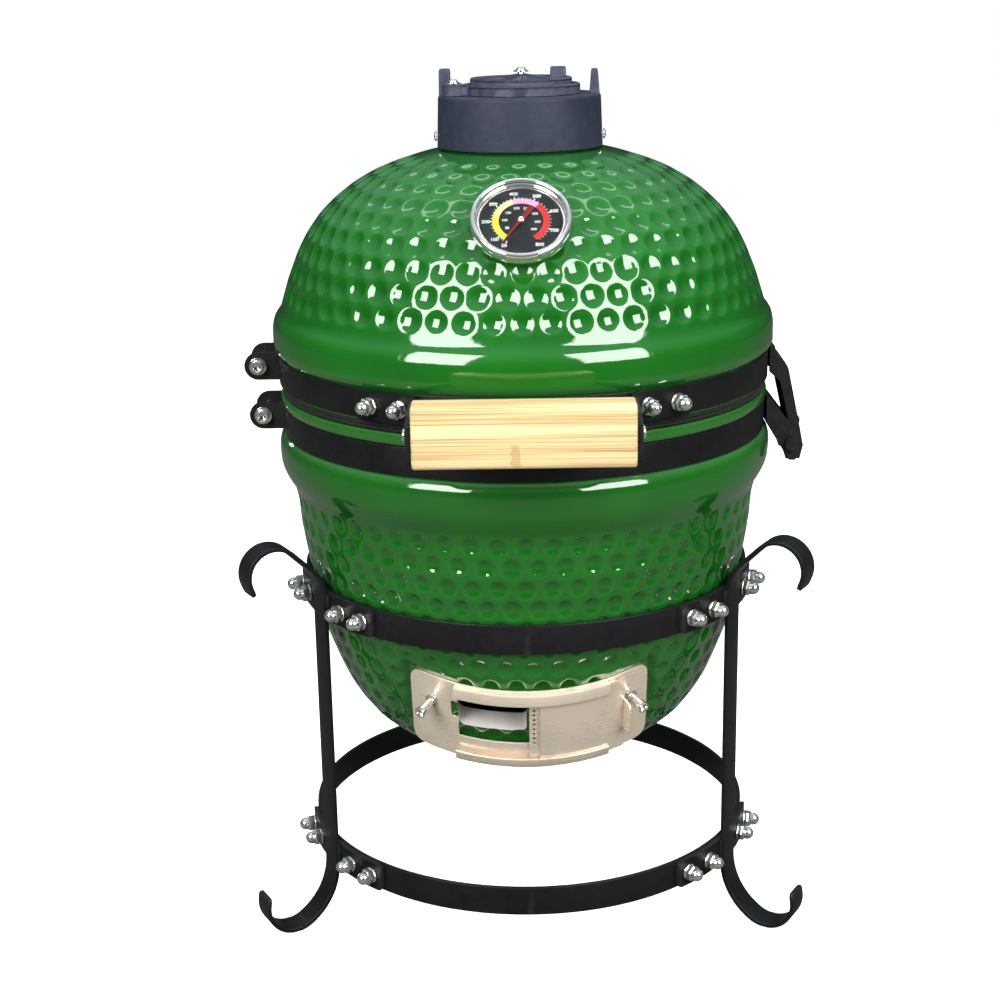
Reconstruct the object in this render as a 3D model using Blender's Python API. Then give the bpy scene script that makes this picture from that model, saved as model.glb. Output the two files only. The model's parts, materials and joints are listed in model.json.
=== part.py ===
"""Small kamado charcoal grill: a ceramic egg with a hinged lid on a three-legged steel stand.

Metres, +Z up, the floor at z = 0. The egg's vertical axis is the local Z axis of the empty "grill";
the handle and the draught door face -Y, the clamp ears are at -X and the lid's hinge is at +X.
"""

from math import cos, degrees, pi, radians, sin

import bmesh
import bpy
from mathutils import Matrix, Vector

MM = 0.001
CLEARANCE = 0.3 * MM
SEGMENTS = 48
RING_SEGMENTS = 40
BAND_SEGMENTS = 64
SMALL_SEGMENTS = 32
FASTENER_SEGMENTS = 8

# Stand
LEG_AZIMUTHS = {"leg_front_left": -60.0, "leg_front_right": 60.0, "leg_rear": 180.0}
LEG_RADIUS = 160 * MM
STRIP_WIDTH = 18 * MM
STRIP_THICKNESS = 3 * MM
RING_INNER = 153.3 * MM
RING_OUTER = 155.9 * MM
RING_HEIGHT = 20 * MM
FOOT_RING_Z = 40 * MM
CRADLE_RING_Z = 224 * MM
SADDLE_INNER = RING_OUTER + CLEARANCE
SADDLE_OUTER = 159 * MM
SADDLE_HALF_ANGLE = 20.5
SADDLE_BOLT_ANGLES = (-17.0, -9.0, 9.0, 17.0)
SCROLL_BEND_Z = 240 * MM
SCROLL_BEND_RADIUS = 30 * MM
SCROLL_SLOPE = 45.0
SCROLL_STRAIGHT = 19 * MM
SCROLL_HOOK_RADIUS = 18 * MM
SCROLL_HOOK_END = -20.0
FOOT_SWEEP_RADIUS = 45 * MM
FOOT_SWEEP_ANGLE = 60.0
FOOT_CURL_RADIUS = 20 * MM
FOOT_CURL_STEP = 15.0
FOOT_CURL_STEPS = 8
CURL_TAIL = 6 * MM

# Egg: lower bowl
SEAM_LOW = 368 * MM
GROOVE_LOW = (340.2 * MM, 360.0 * MM)
BOWL_GROOVE_RADIUS = 164 * MM
BOWL_LIP_RADIUS = 167.2 * MM
BOWL_OUTSIDE = [
    (62, 111), (88, 121.5), (104, 132), (114, 140.5), (122, 150), (129.5, 163), (137, 181), (144.5, 202), (150, 224),
    (152.8, 245), (157.3, 274), (159.8, 301), (168, 317), (169.5, 330), (167, 339.8),
]
BOWL_INSIDE = [(150.5, 345), (145, 290), (136, 222), (113, 167), (100, 150), (82, 137), (58, 127)]
EGG_INNER_RADIUS = 150.5 * MM
BOWL_FLOOR = 127 * MM
BOWL_BOTTOM = 111 * MM

# Egg: lid
SEAM_HIGH = 373.5 * MM
LID_GROOVE_TOP = 394.6 * MM
LID_GROOVE_RADIUS = 165.9 * MM
LID_RIM_RADIUS = 167.2 * MM
LID_OUTSIDE = [
    (170.4, 398), (170.6, 415), (165.6, 423), (155.4, 455), (145.4, 475), (133, 490.5), (115, 505.5),
    (92, 517.5), (73, 524), (56, 528.2),
]
LID_INSIDE = [(41, 516), (70, 513.5), (96, 505), (117, 491), (134, 467.5), (148.5, 429)]
NECK_RADIUS = 50.3 * MM
NECK_BORE = 41 * MM
NECK_TOP = 552.7 * MM

# Felt seals, steel bands and their clamps
FELT_INNER = 151 * MM
FELT_OUTER = 165.5 * MM
BAND_THICKNESS = 1.8 * MM
BAND_HEIGHT = 19 * MM
BAND_Z = {"lid_band": 375.2 * MM, "base_band": 340.7 * MM}
BAND_INNER = {"lid_band": 166.2 * MM, "base_band": 164.3 * MM}
EAR_GAP = 32 * MM
EAR_THICKNESS = 2 * MM
EAR_REACH = 23 * MM
EAR_ROOT = 0.4 * MM
CLAMP_BOLT_RADIUS = 2.8 * MM
CLAMP_HEAD_RADIUS = 4.7 * MM
CLAMP_HEAD_LENGTH = 6.5 * MM

# Hinge at +X
HINGE_X = 184.5 * MM
HINGE_Z = 326 * MM
HINGE_PIN_RADIUS = 3 * MM
HINGE_ARM_HALF_WIDTH = 19.4 * MM
HINGE_PLATE = 3 * MM
HINGE_BRACKET_CHEEK = [
    (166.5, 359.4), (168.6, 359.4), (181, 343), (191, 331), (191, 322), (187, 314.5), (182.5, 314.5),
    (166.5, 341),
]
HINGE_ARM_CHEEK = [
    (168.4, 394), (171.5, 394), (173.6, 387), (178.6, 383), (181.2, 378.6), (189.3, 341), (192.7, 324),
    (190.5, 314.5), (181, 314.5), (178.5, 322), (182, 342), (176, 369), (168.4, 376),
]
HINGE_ARM_STRAP = [
    (168.4, 394), (171.5, 394), (173.6, 387), (178.6, 383), (181.2, 378.6), (189.3, 341), (191, 333),
    (188, 333), (186.3, 341), (178.2, 377.6), (171, 383.6), (168.4, 385),
]
HINGE_STOP = ((174.5, 340), (190, 343))

# Handle
GRIP_HALF_LENGTH = 65.5 * MM
GRIP_Y = (-222 * MM, -200 * MM)
GRIP_Z = (364 * MM, 401.6 * MM)
GRIP_BEVEL = 3 * MM
BRACKET_PLATE_X = 65.8 * MM
BRACKET_THICKNESS = 3 * MM
BRACKET_OUTLINE = [
    (-154, 394.2), (-211, 394.2), (-219, 391), (-219, 366.5), (-204, 366.5), (-190, 375.2), (-154, 375.2),
]
BRACKET_ARC = (22.9, 37.5)
BRACKET_BOLT_ANGLES = (26.5, 33.8)
GRIP_SCREW_AT = (-211 * MM, 382.8 * MM)
GRIP_SCREW_RADIUS = 2 * MM
GRIP_SCREW_DEPTH = 16 * MM

# Chimney cap
COLLAR_OUTLINE = [
    (50.8, 529.4), (55.4, 529.4), (54.3, 561.8), (53.2, 563.4), (33, 563.4), (33, 558.4), (50.8, 558.4),
]
COLLAR_DECK_Z = 563.4 * MM
POST_TOP = 580 * MM
POST_FOOT = 560 * MM
SWING_PIVOT = (-43.3 * MM, -15 * MM)
CAP_CENTRE_X = 1.2 * MM
SWING_PLATE_RADIUS = 39.3 * MM
SWING_PLATE_Z = (563.7 * MM, 569.2 * MM)
SWING_BOSS_RADIUS = 7.5 * MM
SWING_BOSS_TOP = 571 * MM
WHEEL_OUTLINE = [(2.6, 569.5), (33.9, 569.5), (33.9, 573.2), (33, 574), (20, 575.2), (8, 577), (2.6, 577.2)]
PETALS = 5
PETAL_INNER = 12 * MM
PETAL_OUTER = 28 * MM
PETAL_HALF_ANGLE = 13.0
PETAL_STEPS = 4
WHEEL_TAB_AT = (25.5 * MM, 15 * MM)
WHEEL_TAB_SIZE = (11 * MM, 7 * MM)
WHEEL_TAB_Z = (573 * MM, 580 * MM)
CAP_SCREW_RADIUS = 2 * MM
SIDE_SCREW_Z = 536.5 * MM

# Thermometer
GAUGE_AT = (0, -131 * MM, 492.5 * MM)
GAUGE_TILT = 47.0
GAUGE_CASE = [(0, 0.8), (24, 0.8), (31, 2), (31, 8.6), (30, 9.8), (27.6, 9.8), (27.6, 3.8), (0, 3.8)]
GAUGE_STEM_RADIUS = 3 * MM
GAUGE_STEM_END = -62 * MM
GAUGE_HOLE_RADIUS = 4.2 * MM
DIAL_RADIUS = 27.2 * MM
DIAL_Z = (4.1 * MM, 4.9 * MM)
NEEDLE_Z = (5.6 * MM, 6.3 * MM)
NEEDLE_LENGTH = 20 * MM
NEEDLE_TAIL = 12 * MM
NEEDLE_HALF_WIDTHS = (1 * MM, 1.9 * MM)
NEEDLE_BEARING = 213.0
LENS_Z = (7.9 * MM, 9.0 * MM)

# Draught door: everything is bent round a cylinder whose axis leans with the bowl's side
VENT_TILT = 21.4
VENT_RADIUS = 125.3 * MM
VENT_FACE_AT = (0, -132.4 * MM, 163 * MM)
VENT_PLATE_THICKNESS = 1.4 * MM
VENT_PLATE_ARC = (-83 * MM, 86 * MM)
VENT_PLATE_Z = (-31.7 * MM, 33.2 * MM)
VENT_SEAT_MARGIN = 2.5 * MM
VENT_WINDOW = [
    (-47.2, -13.5), (4.6, -13.5), (4.6, 22.5), (-47.2, 22.5), (-47.2, 17), (-52, 17), (-52, -3), (-47.2, -3),
]
DRAUGHT_HOLE_ARC = (-46 * MM, -0.7 * MM)
DRAUGHT_HOLE_Z = (-4 * MM, 22 * MM)
RAIL_ARC = (-48 * MM, 54 * MM)
RAIL_LIP_OFFSET = 3 * MM
RAIL_LIP = {"top_rail": 9 * MM, "bottom_rail": 7 * MM}
RAIL_FOLD = 1.2 * MM
RAIL_INSET = 0.25 * MM
SHEET = 0.9 * MM
SCREEN_OFFSET = 0.5 * MM
DOOR_OFFSET = 1.7 * MM
SLIDE_Z = (-29.9 * MM, 31.4 * MM)
SCREEN_ARC = (1 * MM, 60 * MM)
DOOR_ARC = (8 * MM, 66 * MM)
SCREEN_HOLE_RADIUS = 1.6 * MM
SCREEN_HOLES = (5, 5)
PULL_HEIGHT = 26 * MM
PULL_DEPTH = 9 * MM
STUD_AT = {"vent_stud_left": (-66 * MM, 12 * MM), "vent_stud_right": (72 * MM, 11 * MM)}
STUD_LENGTH = 15 * MM

# Inside the bowl
FIRE_BOX_OUTLINE = [
    (62, 129.2), (79, 139), (90, 154), (100, 178), (120, 204), (131, 226), (138, 272), (126, 272),
    (121, 230), (110, 206), (99, 190), (90, 190), (82, 152), (62, 140),
]
DRAUGHT_SLOT = ((-48, -110, 146), (8, -60, 177))
FIRE_RING_OUTLINE = [(140, 272.4), (143, 346), (130, 346), (128, 272.4)]
GRATE_RADIUS = 98.5 * MM
GRATE_Z = (190.4 * MM, 198 * MM)
GRATE_SLOTS = 9
GRATE_RIB = 4 * MM
GRID_RADIUS = 138 * MM
GRID_Z = (346.4 * MM, 351.4 * MM)
GRID_SLOTS = 13

# The stand's rear leg reaches further back than the handle reaches forward
ORIGIN_SHIFT = (-0.85 * MM, 3.78 * MM, 0)

# Finishes: base colour, roughness, metallic
FINISHES = {
    "green_glaze": ((0.02, 0.2, 0.025), 0.12, 0.0),
    "black_steel": ((0.02, 0.02, 0.022), 0.45, 0.3),
    "cast_iron": ((0.035, 0.035, 0.045), 0.6, 0.4),
    "stainless": ((0.6, 0.58, 0.55), 0.3, 1.0),
    "bright_steel": ((0.75, 0.74, 0.72), 0.12, 1.0),
    "bamboo": ((0.72, 0.5, 0.22), 0.4, 0.0),
    "felt": ((0.012, 0.012, 0.012), 0.95, 0.0),
    "firebrick": ((0.62, 0.55, 0.45), 0.85, 0.0),
    "dial_black": ((0.01, 0.01, 0.01), 0.5, 0.0),
    "needle_red": ((0.6, 0.02, 0.02), 0.4, 0.0),
    "lens": ((0.8, 0.85, 0.85), 0.03, 0.0),
}


def clear_scene():
    """Remove every object of the scene."""
    for obj in list(bpy.data.objects):
        bpy.data.objects.remove(obj, do_unlink=True)


def make_finish(name):
    """Return the Principled material of one finish, made once."""
    found = bpy.data.materials.get(name)
    if found:
        return found
    colour, roughness, metallic = FINISHES[name]
    made = bpy.data.materials.new(name)
    made.use_nodes = True
    shader = made.node_tree.nodes["Principled BSDF"]
    shader.inputs["Base Color"].default_value = (*colour, 1)
    shader.inputs["Roughness"].default_value = roughness
    shader.inputs["Metallic"].default_value = metallic
    return made


def make_empty(name, location, parent=None, rotation=(0, 0, 0)):
    """Add an empty that marks a joint's axis or the whole object's origin."""
    empty = bpy.data.objects.new(name, None)
    empty.empty_display_size = 0.03
    empty.location = location
    empty.rotation_euler = rotation
    bpy.context.scene.collection.objects.link(empty)
    if parent:
        empty.parent = parent
    return empty


def frame_of(empty):
    """Return an empty's placement within the empty "grill", from its own and its parents' placement."""
    placed = Matrix.Translation(empty.location) @ empty.rotation_euler.to_matrix().to_4x4()
    if empty.parent and empty.parent.parent is not None:
        return frame_of(empty.parent) @ placed
    return placed


def finish_mesh(name, bm, finish, parent, placed=None):
    """Turn a bmesh drawn in the egg's frame into an object that hangs on its joint's empty."""
    bmesh.ops.remove_doubles(bm, verts=bm.verts, dist=1e-6)
    bmesh.ops.recalc_face_normals(bm, faces=bm.faces)
    if placed is not None:
        bm.transform(placed)
    if parent.parent is not None:
        bm.transform(frame_of(parent).inverted())
    mesh = bpy.data.meshes.new(name)
    bm.to_mesh(mesh)
    bm.free()
    mesh.shade_smooth()
    mesh.set_sharp_from_angle(angle=radians(35))
    mesh.materials.append(make_finish(finish))
    obj = bpy.data.objects.new(name, mesh)
    obj.parent = parent
    bpy.context.scene.collection.objects.link(obj)
    return obj


def in_metres(points):
    """Turn a list of millimetre pairs into metres."""
    return [(a * MM, b * MM) for a, b in points]


def turned(outline, segments=SEGMENTS, arc=None, closed=True):
    """Spin an outline of (radius, height) about Z: a full turn, or from arc[0] to arc[1] degrees.

    Azimuth 0 is -Y and grows towards +X. An open outline starts and ends on the axis.
    """
    bm = bmesh.new()
    start, end = arc or (0.0, 360.0)
    steps = max(2, round(segments * (end - start) / 360))
    angles = [radians(angle) - pi / 2 for angle in spread(start, end, steps)]
    if not arc:
        angles.pop()
    rows = []
    for r, z in outline:
        if r:
            rows.append([bm.verts.new((r * cos(angle), r * sin(angle), z)) for angle in angles])
        else:
            rows.append([bm.verts.new((0, 0, z))] * len(angles))
    sides = list(zip(rows, rows[1:]))
    if closed:
        sides.append((rows[-1], rows[0]))
    count = len(angles)
    for here, there in sides:
        for i in range(count - 1 if arc else count):
            j = (i + 1) % count
            corners = list(dict.fromkeys((here[i], here[j], there[j], there[i])))
            bm.faces.new(corners)
    if arc:
        bm.faces.new([row[0] for row in rows])
        bm.faces.new([row[-1] for row in rows])
    return bm


def prism(outline, low, high, plane="XY"):
    """Extrude an outline drawn in one plane along that plane's normal, from low to high."""
    place = {
        "XY": lambda a, b, h: (a, b, h),
        "XZ": lambda a, b, h: (a, h, b),
        "YZ": lambda a, b, h: (h, a, b),
    }[plane]
    bm = bmesh.new()
    rows = [[bm.verts.new(place(a, b, h)) for a, b in outline] for h in (low, high)]
    bm.faces.new(rows[0])
    bm.faces.new(reversed(rows[1]))
    count = len(outline)
    for i in range(count):
        j = (i + 1) % count
        bm.faces.new((rows[0][i], rows[0][j], rows[1][j], rows[1][i]))
    return bm


def section(inner, outer, low, high):
    """Return the rectangular section of a ring."""
    return [(inner, low), (outer, low), (outer, high), (inner, high)]


def disc(radius, low, high, segments=RING_SEGMENTS):
    """Return a flat round plate about Z."""
    return prism(arc_points((0, 0), radius, spread(0, 360, segments)[:-1]), low, high)


def block(low, high):
    """Return a box between two corners."""
    corners = [(low[0], low[1]), (high[0], low[1]), (high[0], high[1]), (low[0], high[1])]
    return prism(corners, low[2], high[2])


def rod(radius, start, end, segments=FASTENER_SEGMENTS):
    """Return a round rod between two points."""
    start, end = Vector(start), Vector(end)
    bm = bmesh.new()
    bmesh.ops.create_cone(
        bm, cap_ends=True, segments=segments, radius1=radius, radius2=radius, depth=(end - start).length,
    )
    turn = (end - start).to_track_quat("Z", "Y").to_matrix().to_4x4()
    bm.transform(Matrix.Translation((start + end) / 2) @ turn)
    return bm


def merged(*parts):
    """Collect several shapes in one bmesh, as separate bodies."""
    whole = parts[0]
    for part in parts[1:]:
        mesh = bpy.data.meshes.new("part")
        part.to_mesh(mesh)
        part.free()
        whole.from_mesh(mesh)
        bpy.data.meshes.remove(mesh)
    return whole


def combine(obj, bm, operation, label, placed=None):
    """Join another shape to an object, or cut it out, with an exact Boolean."""
    helper = finish_mesh(f"{obj.name}_{label}", bm, "black_steel", obj.parent, placed)
    helper.hide_render = True
    helper.display_type = "WIRE"
    modifier = obj.modifiers.new(label, "BOOLEAN")
    modifier.operation = operation
    modifier.solver = "EXACT"
    modifier.object = helper


def join(obj, bm, label, placed=None):
    """Join another shape to an object."""
    combine(obj, bm, "UNION", label, placed)


def cut(obj, bm, label, placed=None):
    """Cut a shape out of an object."""
    combine(obj, bm, "DIFFERENCE", label, placed)


def facing(azimuth):
    """Return the turn that brings something drawn at -Y round to an azimuth."""
    return Matrix.Rotation(radians(azimuth), 4, "Z")


def on_ring(azimuth, radius, height):
    """Return the placement of something that stands out of a ring: its +Z points away from the axis."""
    upright = Matrix.Rotation(pi / 2, 4, "X")
    return facing(azimuth) @ Matrix.Translation((0, -radius, height)) @ upright


def arc_points(centre, radius, angles):
    """Return points of an arc in the plane, at angles in degrees."""
    return [(centre[0] + radius * cos(radians(a)), centre[1] + radius * sin(radians(a))) for a in angles]


def spread(start, end, steps):
    """Return evenly spaced values from start to end."""
    return [start + (end - start) * i / steps for i in range(steps + 1)]


def leg_path():
    """Return the centre line of a leg's strip as (radius, height), from the scroll to the foot."""
    slope = radians(SCROLL_SLOPE)
    bend_centre = (LEG_RADIUS + SCROLL_BEND_RADIUS, SCROLL_BEND_Z)
    bend = arc_points(bend_centre, SCROLL_BEND_RADIUS, spread(180, 180 - SCROLL_SLOPE, 3))
    hook_start = (bend[-1][0] + SCROLL_STRAIGHT * sin(slope), bend[-1][1] + SCROLL_STRAIGHT * cos(slope))
    hook_centre = (
        hook_start[0] + SCROLL_HOOK_RADIUS * cos(slope),
        hook_start[1] - SCROLL_HOOK_RADIUS * sin(slope),
    )
    hook = arc_points(hook_centre, SCROLL_HOOK_RADIUS, spread(180 - SCROLL_SLOPE, SCROLL_HOOK_END, 9))
    tail = radians(SCROLL_HOOK_END)
    scroll_tip = (hook[-1][0] + CURL_TAIL * sin(tail), hook[-1][1] - CURL_TAIL * cos(tail))

    # The curl's lowest side is a short flat that stands on the floor.
    half_step = radians(FOOT_CURL_STEP / 2)
    curl_z = FOOT_CURL_RADIUS * cos(half_step) + STRIP_THICKNESS / 2
    sweep = radians(180 + FOOT_SWEEP_ANGLE)
    reach = FOOT_SWEEP_RADIUS - FOOT_CURL_RADIUS
    sweep_centre = (LEG_RADIUS + FOOT_SWEEP_RADIUS, curl_z - reach * sin(sweep))
    curl_centre = (sweep_centre[0] + reach * cos(sweep), curl_z)
    foot = arc_points(sweep_centre, FOOT_SWEEP_RADIUS, spread(180, 180 + FOOT_SWEEP_ANGLE, 4))
    first = 270 - 1.5 * FOOT_CURL_STEP
    curl_angles = [first + FOOT_CURL_STEP * i for i in range(FOOT_CURL_STEPS + 1)]
    curl = arc_points(curl_centre, FOOT_CURL_RADIUS, curl_angles)
    tail = radians(curl_angles[-1])
    foot_tip = (curl[-1][0] - CURL_TAIL * sin(tail), curl[-1][1] + CURL_TAIL * cos(tail))
    return [scroll_tip, *reversed(hook), *reversed(bend), *foot, *curl, foot_tip]


def thickened(path, thickness):
    """Return the closed outline of a strip that follows a path in the plane."""
    sides = ([], [])
    for i, point in enumerate(path):
        before = Vector(path[max(i - 1, 0)])
        after = Vector(path[min(i + 1, len(path) - 1)])
        into = (Vector(point) - before).normalized() if i else (after - Vector(point)).normalized()
        out = (after - Vector(point)).normalized() if i < len(path) - 1 else into
        along = (into + out).normalized()
        normal = Vector((-along.y, along.x))
        half = thickness / 2 / max(0.5, normal.dot(Vector((-into.y, into.x))))
        sides[0].append(tuple(Vector(point) + normal * half))
        sides[1].append(tuple(Vector(point) - normal * half))
    return sides[0] + sides[1][::-1]


def acorn_nut(name, parent, placed):
    """Add a domed nut whose seat is at the placement's origin."""
    outline = in_metres([(0, 0), (5.5, 0), (5.5, 5.2), (4.3, 5.5), (4, 9), (0, 12)])
    finish_mesh(name, turned(outline, 6, closed=False), "bright_steel", parent, placed)


def build_stand(body):
    """Legs with their welded saddles, the two rings and the cradle's domed nuts."""
    for name, z in (("foot_ring", FOOT_RING_Z), ("cradle_ring", CRADLE_RING_Z)):
        ring = section(RING_INNER, RING_OUTER, z, z + RING_HEIGHT)
        finish_mesh(name, turned(ring, BAND_SEGMENTS), "black_steel", body)
    strip = [(-r, z) for r, z in thickened(leg_path(), STRIP_THICKNESS)]
    for name, azimuth in LEG_AZIMUTHS.items():
        shape = prism(strip, -STRIP_WIDTH / 2, STRIP_WIDTH / 2, "YZ")
        leg = finish_mesh(name, shape, "black_steel", body, facing(azimuth))
        span = (azimuth - SADDLE_HALF_ANGLE, azimuth + SADDLE_HALF_ANGLE)
        for label, z in (("foot_saddle", FOOT_RING_Z), ("cradle_saddle", CRADLE_RING_Z)):
            saddle = section(SADDLE_INNER, SADDLE_OUTER, z, z + RING_HEIGHT)
            join(leg, turned(saddle, BAND_SEGMENTS, span), label)
        for number, offset in enumerate(SADDLE_BOLT_ANGLES, 1):
            middle = CRADLE_RING_Z + RING_HEIGHT / 2
            placed = on_ring(azimuth + offset, SADDLE_OUTER + CLEARANCE, middle)
            acorn_nut(f"cradle_nut_{name[4:]}_{number}", body, placed)


def build_bowl(body, vent):
    """The lower half of the egg, with its seat and hole for the draught door."""
    outside = in_metres(BOWL_OUTSIDE)
    low, high = GROOVE_LOW
    groove = [(BOWL_GROOVE_RADIUS, low), (BOWL_GROOVE_RADIUS, high), (BOWL_LIP_RADIUS, high + MM)]
    rim = [(BOWL_LIP_RADIUS, SEAM_LOW), (EGG_INNER_RADIUS, SEAM_LOW)]
    outline = [(0, BOWL_BOTTOM), *outside, *groove, *rim, *in_metres(BOWL_INSIDE), (0, BOWL_FLOOR)]
    bowl = finish_mesh("base_bowl", turned(outline, closed=False), "green_glaze", body)
    seat_radius = VENT_RADIUS - VENT_PLATE_THICKNESS - CLEARANCE
    low, high = VENT_PLATE_Z[0] - VENT_SEAT_MARGIN, VENT_PLATE_Z[1] + VENT_SEAT_MARGIN
    deep = seat_radius + 40 * MM
    seat = [(seat_radius, low), (deep, low), (deep, high), (seat_radius, high)]
    span = [arc_angle(VENT_PLATE_ARC[0] - VENT_SEAT_MARGIN), arc_angle(VENT_PLATE_ARC[1] + VENT_SEAT_MARGIN)]
    cut(bowl, turned(seat, arc=span), "vent_seat", frame_of(vent))
    (left, right), (low, high) = DRAUGHT_HOLE_ARC, DRAUGHT_HOLE_Z
    cut(bowl, block((left, -150 * MM, low), (right, -85 * MM, high)), "draught_hole", frame_of(vent))


def build_inside(body):
    """Fire box, fire ring, charcoal grate, cooking grid and the bowl's felt."""
    fire_box = finish_mesh("fire_box", turned(in_metres(FIRE_BOX_OUTLINE), RING_SEGMENTS), "firebrick", body)
    cut(fire_box, block(*(tuple(a * MM for a in corner) for corner in DRAUGHT_SLOT)), "draught_slot")
    finish_mesh("fire_ring", turned(in_metres(FIRE_RING_OUTLINE), RING_SEGMENTS), "firebrick", body)
    for name, radius, (low, high), slots, finish in (
        ("charcoal_grate", GRATE_RADIUS, GRATE_Z, GRATE_SLOTS, "cast_iron"),
        ("cooking_grid", GRID_RADIUS, GRID_Z, GRID_SLOTS, "bright_steel"),
    ):
        plate = finish_mesh(name, disc(radius, low, high), finish, body)
        pitch = 2 * (radius - 8 * MM) / slots
        cutters = []
        for i in range(slots):
            x = (i - (slots - 1) / 2) * pitch
            half = ((radius - 7 * MM) ** 2 - (abs(x) + pitch / 4) ** 2) ** 0.5
            left, right = x - 0.35 * pitch, x + 0.35 * pitch
            for front, back in ((-half, -GRATE_RIB), (GRATE_RIB, half)):
                cutters.append(block((left, front, low - MM), (right, back, high + MM)))
        cut(plate, merged(*cutters), "slots")
    felt = section(FELT_INNER, FELT_OUTER, 368.3 * MM, 370.6 * MM)
    finish_mesh("base_gasket", turned(felt, RING_SEGMENTS), "felt", body)


def build_band(name, body):
    """A steel band with two clamp ears at -X, and the bolt and nut that tighten it."""
    low, high = BAND_Z[name], BAND_Z[name] + BAND_HEIGHT
    inner = BAND_INNER[name]
    outer = inner + BAND_THICKNESS
    half_gap = degrees(EAR_GAP / 2 / inner)
    span = (-90 + half_gap, 270 - half_gap)
    shape = turned(section(inner, outer, low, high), BAND_SEGMENTS, span)
    band = finish_mesh(name, shape, "black_steel", body)
    middle = (low + high) / 2
    tip_radius = BAND_HEIGHT / 2
    tip_x = -outer - EAR_REACH + tip_radius
    round_end = arc_points((tip_x, middle), tip_radius, spread(90, 270, 8))
    root = (inner**2 - EAR_GAP**2 / 4) ** 0.5 + EAR_ROOT
    ear = [(-root, high), *round_end, (-root, low)]
    for label, side in (("front_ear", -1), ("rear_ear", 1)):
        near = side * EAR_GAP / 2
        far = near + side * EAR_THICKNESS
        join(band, prism(ear, min(near, far), max(near, far), "XZ"), label)
    ear_face = EAR_GAP / 2 + EAR_THICKNESS
    loose = CLAMP_BOLT_RADIUS + 0.4 * MM
    cut(band, rod(loose, (tip_x, -ear_face - MM, middle), (tip_x, ear_face + MM, middle)), "bolt_hole")
    prefix = name.split("_")[0]
    head_seat = -ear_face - CLEARANCE
    shank = rod(CLAMP_BOLT_RADIUS, (tip_x, head_seat - MM, middle), (tip_x, ear_face + 8 * MM, middle))
    bolt = finish_mesh(f"{prefix}_clamp_bolt", shank, "bright_steel", body)
    head_end = head_seat - CLAMP_HEAD_LENGTH
    join(bolt, rod(CLAMP_HEAD_RADIUS, (tip_x, head_end, middle), (tip_x, head_seat, middle), 16), "head")
    nut_seat = ear_face + CLEARANCE
    nut = rod(5.5 * MM, (tip_x, nut_seat, middle), (tip_x, nut_seat + 5 * MM, middle), 6)
    nut = finish_mesh(f"{prefix}_clamp_nut", nut, "bright_steel", body)
    cut(nut, rod(loose, (tip_x, nut_seat - MM, middle), (tip_x, nut_seat + 6 * MM, middle)), "bore")


def build_hinge(body, lid):
    """The bracket on the bowl's band, the arm on the lid's band and the pin between them."""
    inner = HINGE_ARM_HALF_WIDTH + 0.5 * MM
    outer = inner + HINGE_PLATE
    cheek = in_metres(HINGE_BRACKET_CHEEK)
    bracket = finish_mesh("base_hinge_bracket", prism(cheek, -outer, -inner, "XZ"), "black_steel", body)
    join(bracket, prism(cheek, inner, outer, "XZ"), "far_cheek")
    back = block((166.5 * MM, -outer + MM, 341.2 * MM), (168.8 * MM, outer - MM, 359.2 * MM))
    join(bracket, back, "back_plate")
    reach = outer + 4 * MM

    def pin_hole(radius):
        return rod(radius, (HINGE_X, -reach, HINGE_Z), (HINGE_X, reach, HINGE_Z), 16)

    cut(bracket, pin_hole(HINGE_PIN_RADIUS + 0.35 * MM), "pin_hole")
    half = HINGE_ARM_HALF_WIDTH
    cheek = in_metres(HINGE_ARM_CHEEK)
    arm = finish_mesh("lid_hinge_arm", prism(cheek, -half, HINGE_PLATE - half, "XZ"), "black_steel", lid)
    join(arm, prism(cheek, half - HINGE_PLATE, half, "XZ"), "far_cheek")
    join(arm, prism(in_metres(HINGE_ARM_STRAP), MM - half, half - MM, "XZ"), "strap")
    (x0, z0), (x1, z1) = in_metres(HINGE_STOP)
    join(arm, block((x0, MM - half, z0), (x1, half - MM, z1)), "stop_plate")
    cut(arm, pin_hole(HINGE_PIN_RADIUS + 0.35 * MM), "pin_hole")
    pin = rod(HINGE_PIN_RADIUS, (HINGE_X, -outer - MM, HINGE_Z), (HINGE_X, outer + MM, HINGE_Z), 16)
    pin = finish_mesh("hinge_pin", pin, "black_steel", body)
    for label, side in (("front_head", -1), ("rear_head", 1)):
        near, far = side * (outer + CLEARANCE), side * (outer + 2.6 * MM)
        join(pin, rod(5 * MM, (HINGE_X, near, HINGE_Z), (HINGE_X, far, HINGE_Z), 16), label)


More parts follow.
